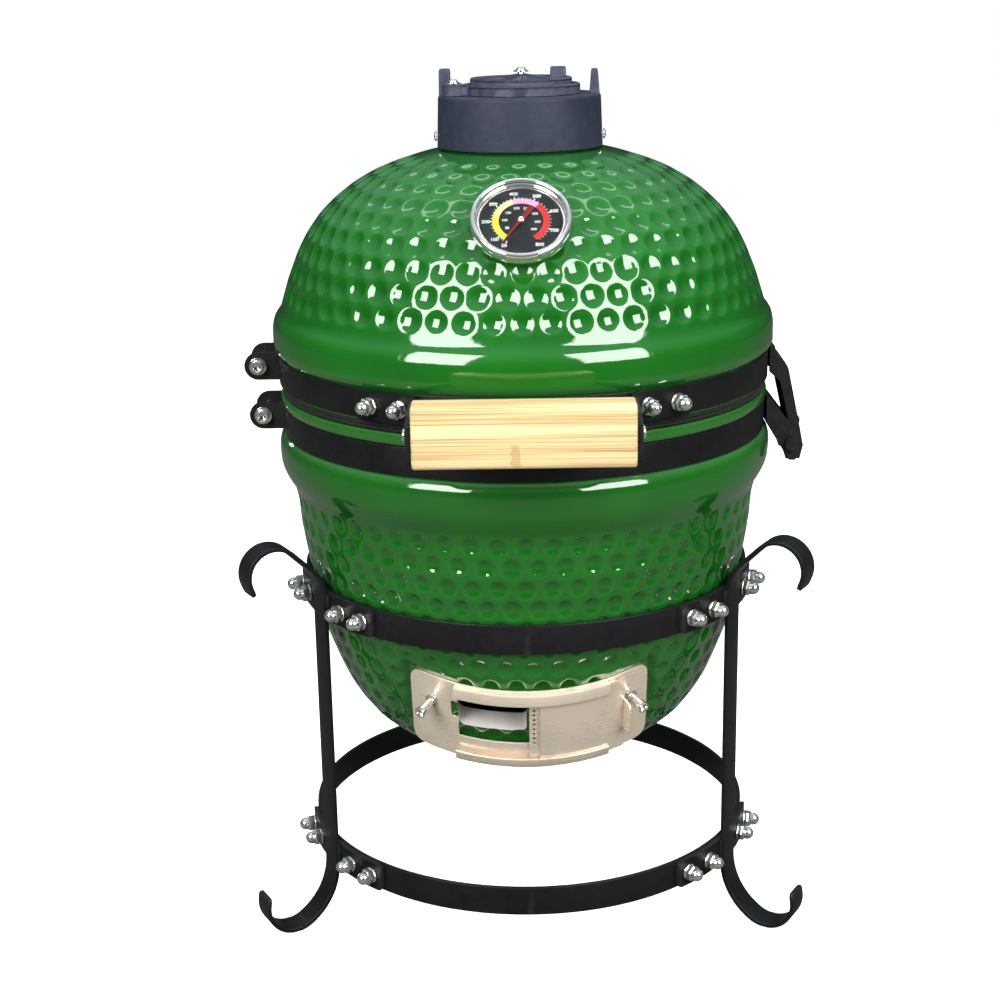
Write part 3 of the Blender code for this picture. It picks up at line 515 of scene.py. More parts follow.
class Recipe:
    """A node tree being written, with short ways to add and join nodes."""

    def __init__(self, tree: bpy.types.NodeTree) -> None:
        """Write into this tree."""
        self.tree = tree

    def node(
        self, kind: str, inputs: dict[str | int, object] | None = None, **settings: object
    ) -> bpy.types.Node:
        """Add a node.

        Args:
            kind: The node's type name without its ShaderNode prefix.
            inputs: Values or sockets for its inputs, by name or number.
            settings: Properties of the node.

        Returns:
            The node.
        """
        made = self.tree.nodes.new("ShaderNode" + kind)
        for key, value in settings.items():
            setattr(made, key, value)
        for key, value in (inputs or {}).items():
            if isinstance(value, bpy.types.NodeSocket):
                self.tree.links.new(value, made.inputs[key])
            else:
                made.inputs[key].default_value = value
        return made

    def ramp(
        self, factor: bpy.types.NodeSocket, stops: list[tuple[float, tuple[float, ...]]]
    ) -> bpy.types.NodeSocket:
        """Map a value to a colour through stops of (position, colour).

        Args:
            factor: The value.
            stops: The stops, from low to high.

        Returns:
            The resulting socket.
        """
        made = self.node("ValToRGB", {"Fac": factor})
        elements = made.color_ramp.elements
        while len(elements) < len(stops):
            elements.new(0.5)
        for element, (position, colour) in zip(elements, stops):
            element.position = position
            element.color = (*colour[:3], 1)
        return made.outputs["Color"]

    def maths(self, operation: str, a: object, b: object = 0.0, clamp: bool = False) -> bpy.types.NodeSocket:
        """Work out one value from two."""
        made = self.node("Math", {0: a, 1: b}, operation=operation, use_clamp=clamp)
        return made.outputs[0]

    def linear(self, value: object, factor: object, offset: object) -> bpy.types.NodeSocket:
        """Work out value times factor plus offset."""
        return self.maths("ADD", self.maths("MULTIPLY", value, factor), offset)

    def mix(self, share: object, a: object, b: object) -> bpy.types.NodeSocket:
        """Mix two colours.

        Args:
            share: Share of the second colour.
            a: The first colour, as values or a socket.
            b: The second colour.

        Returns:
            The resulting socket.
        """
        made = self.node("Mix", data_type="RGBA")
        for index, value in ((0, share), (6, a), (7, b)):
            if isinstance(value, bpy.types.NodeSocket):
                self.tree.links.new(value, made.inputs[index])
            elif index:
                made.inputs[index].default_value = (*value[:3], 1)
            else:
                made.inputs[index].default_value = value
        return made.outputs[2]

    def noise(
        self, where: bpy.types.NodeSocket, scale: float, detail: float = 3.0, rough: float = 0.5
    ) -> bpy.types.NodeSocket:
        """A noise value over the surface."""
        made = self.node("TexNoise", {"Vector": where, "Scale": scale, "Detail": detail, "Roughness": rough})
        return made.outputs["Fac"]

    def stretched(self, scale: Triple, turn: Triple = (0, 0, 0)) -> bpy.types.NodeSocket:
        """Object coordinates scaled along each axis.

        Args:
            scale: Scale along X, Y and Z.
            turn: Turn about X, Y and Z, in radians.

        Returns:
            The resulting socket.
        """
        where = self.node("TexCoord").outputs["Object"]
        made = self.node("Mapping", {"Vector": where, "Scale": scale, "Rotation": turn})
        return made.outputs["Vector"]


def group(
    name: str, takes: dict[str, float], gives: dict[str, str]
) -> tuple[bpy.types.NodeTree, Recipe, bpy.types.Node, bpy.types.Node]:
    """Start a shader node group.

    Args:
        name: The group's name.
        takes: Input names and their default values.
        gives: Output names and their socket types.

    Returns:
        The group, its recipe, its input node and its output node.
    """
    tree = bpy.data.node_groups.new(name, "ShaderNodeTree")
    for label, value in takes.items():
        socket = tree.interface.new_socket(label, in_out="INPUT", socket_type="NodeSocketFloat")
        socket.default_value = value
    for label, kind in gives.items():
        tree.interface.new_socket(label, in_out="OUTPUT", socket_type=kind)
    recipe = Recipe(tree)
    enter = tree.nodes.new("NodeGroupInput")
    leave = tree.nodes.new("NodeGroupOutput")
    return tree, recipe, enter, leave


class Effects:
    """Node groups that several finishes share."""

    def __init__(self) -> None:
        """Build each group once."""
        self.edge_wear = self._edge_wear()
        self.grain = self._grain()
        self.mottle = self._mottle()

    @staticmethod
    def _edge_wear() -> bpy.types.NodeTree:
        """A mask that is bright on outward edges, broken up by noise.

        Returns:
            The group.
        """
        tree, recipe, enter, leave = group(
            "edge_wear", {"Sharpness": 9.0, "Patch Size": 90.0, "Amount": 0.5}, {"Mask": "NodeSocketFloat"}
        )
        point = recipe.node("NewGeometry").outputs["Pointiness"]
        raised = recipe.maths("SUBTRACT", point, 0.5)
        edge = recipe.maths("MULTIPLY", raised, enter.outputs["Sharpness"], clamp=True)
        where = recipe.node("TexCoord").outputs["Object"]
        patches = recipe.node(
            "TexNoise", {"Vector": where, "Scale": enter.outputs["Patch Size"], "Detail": 4.0}
        )
        broken = recipe.maths("MULTIPLY", edge, patches.outputs["Fac"])
        mask = recipe.maths("MULTIPLY", broken, enter.outputs["Amount"], clamp=True)
        recipe.tree.links.new(mask, leave.inputs["Mask"])
        return tree

    @staticmethod
    def _grain() -> bpy.types.NodeTree:
        """Fine raised grain, as of powder coat or a casting.

        Returns:
            The group.
        """
        tree, recipe, enter, leave = group(
            "grain", {"Scale": 900.0, "Coarse Share": 0.3}, {"Height": "NodeSocketFloat"}
        )
        where = recipe.node("TexCoord").outputs["Object"]
        fine = recipe.node("TexNoise", {"Vector": where, "Scale": enter.outputs["Scale"], "Detail": 3.0})
        wide = recipe.maths("MULTIPLY", enter.outputs["Scale"], 0.22)
        coarse = recipe.node("TexNoise", {"Vector": where, "Scale": wide, "Detail": 2.0})
        height = recipe.linear(coarse.outputs["Fac"], enter.outputs["Coarse Share"], fine.outputs["Fac"])
        recipe.tree.links.new(height, leave.inputs["Height"])
        return tree

    @staticmethod
    def _mottle() -> bpy.types.NodeTree:
        """A soft, cloudy value from 0 to 1.

        Returns:
            The group.
        """
        tree, recipe, enter, leave = group(
            "mottle", {"Scale": 20.0, "Contrast": 1.5}, {"Value": "NodeSocketFloat"}
        )
        where = recipe.node("TexCoord").outputs["Object"]
        cloud = recipe.node("TexNoise", {"Vector": where, "Scale": enter.outputs["Scale"], "Detail": 4.0})
        middle = recipe.maths("SUBTRACT", cloud.outputs["Fac"], 0.5)
        wide = recipe.maths("MULTIPLY", middle, enter.outputs["Contrast"])
        value = recipe.maths("ADD", wide, 0.5, clamp=True)
        recipe.tree.links.new(value, leave.inputs["Value"])
        return tree


@dataclass(frozen=True)
class Finish:
    """A material with one Principled shader; subclasses add what varies over the surface."""

    name: str
    colour: Triple
    roughness: float = 0.5
    metallic: float = 0.0
    coat: float = 0.0
    coat_roughness: float = 0.05

    def make(self, effects: Effects) -> bpy.types.Material:
        """Build the material.

        Args:
            effects: The shared node groups.

        Returns:
            The material.
        """
        material = bpy.data.materials.new(self.name)
        material.use_nodes = True
        recipe = Recipe(material.node_tree)
        shader = material.node_tree.nodes["Principled BSDF"]
        shader.inputs["Base Color"].default_value = (*self.colour, 1)
        shader.inputs["Roughness"].default_value = self.roughness
        shader.inputs["Metallic"].default_value = self.metallic
        shader.inputs["Coat Weight"].default_value = self.coat
        shader.inputs["Coat Roughness"].default_value = self.coat_roughness
        self.detail(recipe, shader, effects)
        return material

    def detail(self, recipe: Recipe, shader: bpy.types.Node, effects: Effects) -> None:
        """Add what varies over the surface: a slight cloudiness of the gloss.

        Args:
            recipe: The material's recipe.
            shader: Its Principled shader.
            effects: The shared node groups.
        """
        cloud = self.use(recipe, effects.mottle, {"Scale": 60.0, "Contrast": 1.2})["Value"]
        gloss = recipe.linear(cloud, 0.12, self.roughness - 0.06)
        recipe.tree.links.new(gloss, shader.inputs["Roughness"])

    @staticmethod
    def use(
        recipe: Recipe, tree: bpy.types.NodeTree, values: dict[str, float]
    ) -> bpy.types.bpy_prop_collection:
        """Place a shared group with this finish's own values, and return its outputs.

        Args:
            recipe: The material's recipe.
            tree: The group.
            values: Values for its inputs, by name.

        Returns:
            The group's outputs.
        """
        placed = recipe.node("Group", node_tree=tree)
        for key, value in values.items():
            placed.inputs[key].default_value = value
        return placed.outputs

    @staticmethod
    def bump(
        recipe: Recipe, shader: bpy.types.Node, height: bpy.types.NodeSocket, strength: float,
        distance: float,
    ) -> None:
        """Feed a height to the shader's normal."""
        made = recipe.node("Bump", {"Height": height, "Strength": strength, "Distance": distance})
        recipe.tree.links.new(made.outputs["Normal"], shader.inputs["Normal"])


@dataclass(frozen=True)
class Glaze(Finish):
    """Glossy glaze over dimpled ceramic: darker in the dents, with a faint orange peel and pin marks."""

    pooled: Triple = (0.004, 0.062, 0.004)
    thin: Triple = (0.026, 0.15, 0.02)

    def detail(self, recipe: Recipe, shader: bpy.types.Node, effects: Effects) -> None:
        """Vary the colour with the relief, the gloss with a cloud, and the surface with a slight wave.

        Args:
            recipe: The material's recipe.
            shader: Its Principled shader.
            effects: The shared node groups.
        """
        point = recipe.node("NewGeometry").outputs["Pointiness"]
        depth = recipe.ramp(point, [(0.44, self.pooled), (0.5, self.colour), (0.58, self.thin)])
        cloud = self.use(recipe, effects.mottle, {"Scale": 14.0, "Contrast": 1.6})["Value"]
        shade = recipe.ramp(cloud, [(0.2, (0.86, 0.86, 0.86)), (0.8, (1.1, 1.1, 1.1))])
        tinted = recipe.node("Mix", {0: 1.0, 6: depth, 7: shade}, data_type="RGBA", blend_type="MULTIPLY")
        recipe.tree.links.new(tinted.outputs[2], shader.inputs["Base Color"])
        where = recipe.stretched((1, 1, 1))
        wave = recipe.noise(where, 55, 2)
        peel = recipe.noise(where, 420, 2)
        speck = recipe.node("TexVoronoi", {"Vector": where, "Scale": 45.0, "Randomness": 1.0})
        pin = recipe.node(
            "MapRange",
            {
                "Value": speck.outputs["Distance"], "From Min": 0.0, "From Max": 0.035, "To Min": -1.0,
                "To Max": 0.0,
            }
        )
        height = recipe.linear(peel, 0.05, wave)
        height = recipe.linear(pin.outputs["Result"], 0.12, height)
        self.bump(recipe, shader, height, 0.5, 0.7 * MM)
        gloss = recipe.linear(cloud, 0.05, self.roughness - 0.02)
        recipe.tree.links.new(gloss, shader.inputs["Roughness"])


@dataclass(frozen=True)
class Coated(Finish):
    """Powder coat or bare casting: a fine grain, and edges rubbed a little brighter."""

    worn: Triple = (0.12, 0.12, 0.125)
    grain_scale: float = 900.0
    grain_depth: float = 0.12
    wear: float = 0.5

    def detail(self, recipe: Recipe, shader: bpy.types.Node, effects: Effects) -> None:
        """Add the grain, the cloud in colour and gloss, and the rubbed edges.

        Args:
            recipe: The material's recipe.
            shader: Its Principled shader.
            effects: The shared node groups.
        """
        grain = self.use(recipe, effects.grain, {"Scale": self.grain_scale, "Coarse Share": 0.5})["Height"]
        self.bump(recipe, shader, grain, 0.6, self.grain_depth * MM)
        mask = self.use(
            recipe, effects.edge_wear, {"Sharpness": 12.0, "Patch Size": 160.0, "Amount": self.wear}
        )["Mask"]
        cloud = self.use(recipe, effects.mottle, {"Scale": 35.0, "Contrast": 1.4})["Value"]
        dusty = tuple(min(1.0, c * 1.5 + 0.004) for c in self.colour)
        base = recipe.mix(cloud, self.colour, dusty)
        recipe.tree.links.new(recipe.mix(mask, base, self.worn), shader.inputs["Base Color"])
        gloss = recipe.linear(cloud, 0.14, self.roughness - 0.07)
        recipe.tree.links.new(gloss, shader.inputs["Roughness"])
        shader.inputs["Specular IOR Level"].default_value = 0.22


@dataclass(frozen=True)
class Brushed(Finish):
    """Sheet metal with fine brush lines along one direction."""

    along: Triple = (14.0, 14.0, 900.0)

    def detail(self, recipe: Recipe, shader: bpy.types.Node, effects: Effects) -> None:
        """Add brush lines to gloss and surface, and faint handling marks.

        Args:
            recipe: The material's recipe.
            shader: Its Principled shader.
            effects: The shared node groups.
        """
        lines = recipe.noise(recipe.stretched(self.along), 1.0, 4, 0.6)
        cloud = self.use(recipe, effects.mottle, {"Scale": 28.0, "Contrast": 1.8})["Value"]
        gloss = recipe.linear(lines, 0.16, recipe.linear(cloud, 0.12, self.roughness - 0.13))
        recipe.tree.links.new(gloss, shader.inputs["Roughness"])
        darker = tuple(c * 0.8 for c in self.colour)
        recipe.tree.links.new(recipe.mix(cloud, darker, self.colour), shader.inputs["Base Color"])
        self.bump(recipe, shader, lines, 0.15, 0.01 * MM)


@dataclass(frozen=True)
class Bamboo(Finish):
    """Pressed bamboo: long fine fibres, narrow laminations and a joint mark of the cane."""

    mark_x: float = -0.006
    mark_z: float = 0.372

    def detail(self, recipe: Recipe, shader: bpy.types.Node, effects: Effects) -> None:
        """Colour the fibres, laminations and the cane's joint, and raise the grain slightly.

        Args:
            recipe: The material's recipe.
            shader: Its Principled shader.
            effects: The shared node groups.
        """
        where = recipe.node("TexCoord").outputs["Object"]
        fibres = recipe.noise(recipe.stretched((6, 600, 1250)), 1.0, 3, 0.6)
        broad = recipe.noise(recipe.stretched((3, 60, 110)), 1.0, 3, 0.5)
        axes = recipe.node("SeparateXYZ", {"Vector": where})
        layer = recipe.maths("FLOOR", recipe.maths("MULTIPLY", axes.outputs["Z"], 1 / (6.2 * MM)))
        tone = recipe.node("TexWhiteNoise", {"W": layer}, noise_dimensions="1D").outputs["Value"]
        blend = recipe.linear(fibres, 0.72, recipe.linear(broad, 0.18, recipe.maths("MULTIPLY", tone, 0.1)))
        darker = (0.42, 0.24, 0.08)
        colour = recipe.ramp(blend, [(0.34, darker), (0.5, self.colour), (0.66, (0.84, 0.7, 0.42))])
        across = recipe.maths("ABSOLUTE", recipe.maths("SUBTRACT", axes.outputs["X"], self.mark_x))
        up = recipe.maths("ABSOLUTE", recipe.maths("SUBTRACT", axes.outputs["Z"], self.mark_z))
        wander = recipe.maths("MULTIPLY", recipe.noise(where, 260, 2), 5 * MM)
        near = recipe.maths("LESS_THAN", recipe.maths("ADD", across, wander), 5.2 * MM)
        low = recipe.maths("LESS_THAN", recipe.maths("ADD", up, wander), 9 * MM)
        mark = recipe.maths("MULTIPLY", recipe.maths("MULTIPLY", near, low), 0.5)
        recipe.tree.links.new(recipe.mix(mark, colour, darker), shader.inputs["Base Color"])
        gloss = recipe.linear(fibres, 0.2, self.roughness - 0.1)
        recipe.tree.links.new(gloss, shader.inputs["Roughness"])
        self.bump(recipe, shader, fibres, 0.3, 0.08 * MM)


@dataclass(frozen=True)
class Rough(Finish):
    """Unglazed clay or felt: a deep dull grain and a mottled colour."""

    grain_scale: float = 500.0
    grain_depth: float = 0.3
    shade: float = 0.8

    def detail(self, recipe: Recipe, shader: bpy.types.Node, effects: Effects) -> None:
        """Add the grain and the mottling.

        Args:
            recipe: The material's recipe.
            shader: Its Principled shader.
            effects: The shared node groups.
        """
        grain = self.use(recipe, effects.grain, {"Scale": self.grain_scale, "Coarse Share": 1.0})["Height"]
        self.bump(recipe, shader, grain, 0.7, self.grain_depth * MM)
        cloud = self.use(recipe, effects.mottle, {"Scale": 30.0, "Contrast": 1.6})["Value"]
        darker = tuple(c * self.shade for c in self.colour)
        recipe.tree.links.new(recipe.mix(cloud, darker, self.colour), shader.inputs["Base Color"])


@dataclass(frozen=True)
class Glass(Finish):
    """Clear flat glass."""

    def detail(self, recipe: Recipe, shader: bpy.types.Node, effects: Effects) -> None:
        """Let light through."""
        shader.inputs["Transmission Weight"].default_value = 1.0
        shader.inputs["IOR"].default_value = 1.2


class Finishes:
    """Every finish of the grill, made once."""

    def __init__(self) -> None:
        """Make the shared groups, then the materials."""
        effects = Effects()
        self.glaze = Glaze(
            "green_glaze", (0.0065, 0.116, 0.0075), 0.07, coat=1.0, coat_roughness=0.03
        ).make(effects)
        self.clay = Rough("firebrick", (0.6, 0.57, 0.54), 0.9).make(effects)
        self.steel = Coated("black_steel", (0.002, 0.002, 0.0027), 0.4, wear=0.2).make(effects)
        self.iron = Coated(
            "cast_iron", (0.012, 0.015, 0.03), 0.5, grain_scale=1100.0, grain_depth=0.35, wear=0.8,
            worn=(0.13, 0.14, 0.19)
        ).make(effects)
        self.sheet = Brushed("stainless", (0.97, 0.83, 0.66), 0.28, 0.42).make(effects)
        self.bright = Finish("bright_steel", (0.9, 0.88, 0.85), 0.1, 0.92).make(effects)
        self.bamboo = Bamboo("bamboo", (0.72, 0.56, 0.29), 0.42).make(effects)
        self.felt = Rough("felt", (0.012, 0.012, 0.012), 0.95, grain_depth=0.5).make(effects)
        self.dial = Finish("dial_black", (0.008, 0.008, 0.009), 0.35).make(effects)
        self.print_white = Finish("dial_white", (1, 1, 1), 0.5).make(effects)
        self.print_yellow = Finish("dial_yellow", (0.8, 0.75, 0.03), 0.5).make(effects)
        self.print_pale = Finish("dial_pale_yellow", (0.85, 0.8, 0.3), 0.5).make(effects)
        self.print_pink = Finish("dial_pink", (0.85, 0.35, 0.55), 0.5).make(effects)
        self.print_red = Finish("dial_red", (0.7, 0.015, 0.012), 0.5).make(effects)
        self.needle = Finish("needle_red", (0.22, 0.006, 0.008), 0.35).make(effects)
        self.lens = Glass("lens", (1.0, 1.0, 1.0), 0.02).make(effects)


# ---------------------------------------------------------------- fasteners


@dataclass
class AcornNut:
    """A domed hexagon nut on its washer."""

    across_corners: float = 11.4 * MM
    hex_height: float = 4.6 * MM
    dome_radius: float = 4.35 * MM
    height: float = 11.6 * MM
    washer_radius: float = 5.6 * MM
    washer: float = 0.8 * MM

    def draw(self, draft: Draft, place: Matrix, turn: float) -> None:
        """Add the nut to a draft.

        Args:
            draft: The mesh it goes into.
            place: Seat of the nut, with +Z away from it.
            turn: How far the hexagon is turned, in degrees.
        """
        ring = rectangle(0, 0, self.washer_radius, self.washer)
        draft.turn(rounded(ring, 0.25 * MM, 2), 28, place=place)
        turned = place @ facing(turn)
        half = self.across_corners / 2
        low, high = self.washer, self.washer + self.hex_height
        draft.turn(
            [
                (0, low), (half * 0.93, low), (half, low + 0.5 * MM),
                (half, high - 0.7 * MM), (half * 0.88, high), (0, high),
            ],
            6,
            place=turned,
        )
        straight = high + (self.height - high) * 0.28
        dome = [(0, high - MM), (self.dome_radius * 1.02, high - MM), (self.dome_radius, straight)]
        rise = self.height - straight
        dome += [
            (self.dome_radius * math.cos(math.radians(a)), straight + rise * math.sin(math.radians(a)))
            for a in range(10, 90, 10)
        ]
        dome.append((0, self.height))
        draft.turn(dome, 28, place=place)


@dataclass
class PanScrew:
    """A round-headed screw with a shallow round recess in its head, on a washer."""

    head: float = 3.4 * MM
    height: float = 2.6 * MM
    washer: float = 5.0 * MM

    def draw(self, draft: Draft, place: Matrix) -> None:
        """Add the head and washer to a draft.

        Args:
            draft: The mesh it goes into.
            place: Seat of the screw, with +Z away from it.
        """
        if self.washer:
            ring = rectangle(0, 0, self.washer, 0.8 * MM)
            draft.turn(rounded(ring, 0.25 * MM, 2), 28, place=place)
        dome = [(0, 0.5 * MM), (self.head, 0.5 * MM), (self.head, 1.2 * MM)]
        rise = self.height - 1.2 * MM
        dome += [
            (self.head * math.cos(math.radians(a)), 1.2 * MM + rise * math.sin(math.radians(a)))
            for a in range(15, 75, 12)
        ]
        dome += [
            (self.head * 0.3, self.height * 0.98), (self.head * 0.2, self.height - 0.9 * MM),
            (0.0, self.height - MM),
        ]
        draft.turn(dome, 28, place=place)


# ---------------------------------------------------------------- the egg


@dataclass
class DimpleRow:
    """One ring of dimples: where it lies and how many it has."""

    radius: float
    height: float
    count: int
    phase: float


@dataclass
class Dimples:
    """Rings of shallow round dents pressed into the clay."""

    rows: list[DimpleRow]
    size: float = 7.3 * MM
    depth: float = 2.0 * MM
    cap_share: float = 0.92
    rim_share: float = 1.08

    def apply(self, points: np.ndarray, azimuths: np.ndarray) -> np.ndarray:
        """Press the dimples into a surface.

        Args:
            points: Profile point of each mesh row, as (radius, height).
            azimuths: Azimuth of each column, in radians.

        Returns:
            The depth of the dent at each row and column.
        """
        dent = np.zeros((len(points), len(azimuths)))
        chance = np.random.default_rng(7)
        for row in self.rows:
            along = np.linalg.norm(points - np.array([row.radius, row.height]), axis=1)
            near = np.where(along < self.size * 1.6)[0]
            if not len(near):
                continue
            steps = np.arange(row.count)
            centres = (steps + row.phase) / row.count * 2 * math.pi
            centres = centres + chance.normal(0, 0.35 * MM, row.count) / row.radius
            lift = chance.normal(0, 0.3 * MM, row.count)
            size = self.size * (1 + chance.normal(0, 0.035, row.count))
            sign = np.sign(points[near, 1] - row.height)
            index = np.round(azimuths / (2 * math.pi) * row.count - row.phase).astype(int) % row.count
            gap = (azimuths - centres[index] + math.pi) % (2 * math.pi) - math.pi
            for which, line in enumerate(near):
                up = along[line] * sign[which] - lift[index]
                distance = np.hypot(gap * points[line, 0], up) / size[index]
                cap = 1 - distance**2
                soft = np.clip((self.rim_share - distance) / (self.rim_share - self.cap_share), 0, 1)
                rim = (1 - self.cap_share**2) * soft * soft * (3 - 2 * soft)
                dent[line] = np.maximum(
                    dent[line], self.depth * np.where(distance < self.cap_share, cap, rim)
                )
        return dent


@dataclass
class Shell:
    """One half of the egg: a glazed outside with dimples and a bare clay inside."""

    name: str
    outside: Outline
    rim: Outline
    inside: Outline
    dimples: Dimples
    columns: int = 860
    step: float = 1.05 * MM
    plain_step: float = 3.0 * MM
    seat: Matrix | None = None
    seat_radius: float = 0.0
    seat_arc: Point = (0.0, 0.0)
    seat_height: Point = (0.0, 0.0)
    seat_blend: float = 6.0 * MM
    base: Outline = field(default_factory=list)

    def mesh(self) -> Draft:
        """Build the closed shell, with the inside faces in the second material.

        Returns:
            The draft.
        """
        profile = self._thinned(smooth_curve(scaled(self.outside), self.step))
        direction = np.gradient(profile, axis=0)
        direction /= np.linalg.norm(direction, axis=1)[:, None]
        normals = np.stack([direction[:, 1], -direction[:, 0]], axis=1)
        if normals[len(normals) // 2, 0] < 0:
            normals = -normals
        azimuths = np.arange(self.columns) / self.columns * 2 * math.pi
        dent = self.dimples.apply(profile, azimuths)
        radii = profile[:, :1] - normals[:, :1] * dent
        heights = profile[:, 1:] - normals[:, 1:] * dent
        radii, heights = np.broadcast_to(radii, dent.shape), np.broadcast_to(heights, dent.shape)
        x = radii * np.sin(azimuths)
        y = -radii * np.cos(azimuths)
        outer = np.stack([x, y, heights], axis=2)
        if self.seat is not None:
            outer = self._flatten(outer)
        rest = [
            *scaled(self.rim), *map(tuple, smooth_curve(scaled(self.inside), self.plain_step)),
            *scaled(self.base),
        ]
        rings = [outer[i] for i in range(len(outer))]
        for radius, height in rest:
            level = np.full_like(azimuths, height)
            rings.append(np.stack([radius * np.sin(azimuths), -radius * np.cos(azimuths), level], axis=1))
        draft = Draft()
        bm = draft.bm
        rows = [[bm.verts.new(p) for p in ring.tolist()] for ring in rings]
        count = self.columns
        glazed = len(outer) + len(self.rim)
        for k in range(len(rows)):
            here, there = rows[k], rows[(k + 1) % len(rows)]
            for i in range(count):
                j = (i + 1) % count
                face = bm.faces.new((here[i], here[j], there[j], there[i]))
                face.material_index = 0 if k < glazed - 1 else 1
        return draft

    def _thinned(self, profile: np.ndarray) -> np.ndarray:
        """Leave out two points in three where no dimple is near.

        Args:
            profile: Points of the outside profile.

        Returns:
            The points that stay.
        """
        heights = [row.height for row in self.dimples.rows]
        low, high = min(heights) - 9 * MM, max(heights) + 9 * MM
        near = (profile[:, 1] > low) & (profile[:, 1] < high)
        kept = near | (np.arange(len(profile)) % 3 == 0)
        kept[[0, -1]] = True
        return profile[kept]

    def _flatten(self, outer: np.ndarray) -> np.ndarray:
        """Press the seat of the draught door into the outside.

        Args:
            outer: The outside's points, by row and column.

        Returns:
            The points with the seat pressed in.
        """
        matrix = np.array(self.seat)
        back = np.array(self.seat.inverted())
        local = outer.reshape(-1, 3) @ back[:3, :3].T + back[:3, 3]
        angle = np.arctan2(local[:, 0], -local[:, 1])
        radius = np.hypot(local[:, 0], local[:, 1])
        arc = angle * self.seat_radius
        across = np.maximum(0, np.maximum(self.seat_arc[0] - arc, arc - self.seat_arc[1]))
        along = np.maximum(
            0, np.maximum(self.seat_height[0] - local[:, 2], local[:, 2] - self.seat_height[1])
        )
        near = np.clip(1 - np.hypot(across, along) / self.seat_blend, 0, 1)
        weight = np.where((local[:, 1] < 0) & (radius > self.seat_radius), near * near * (3 - 2 * near), 0)
        pressed = radius + (self.seat_radius - radius) * weight
        local[:, 0] = pressed * np.sin(angle)
        local[:, 1] = -pressed * np.cos(angle)
        return (local @ matrix[:3, :3].T + matrix[:3, 3]).reshape(outer.shape)


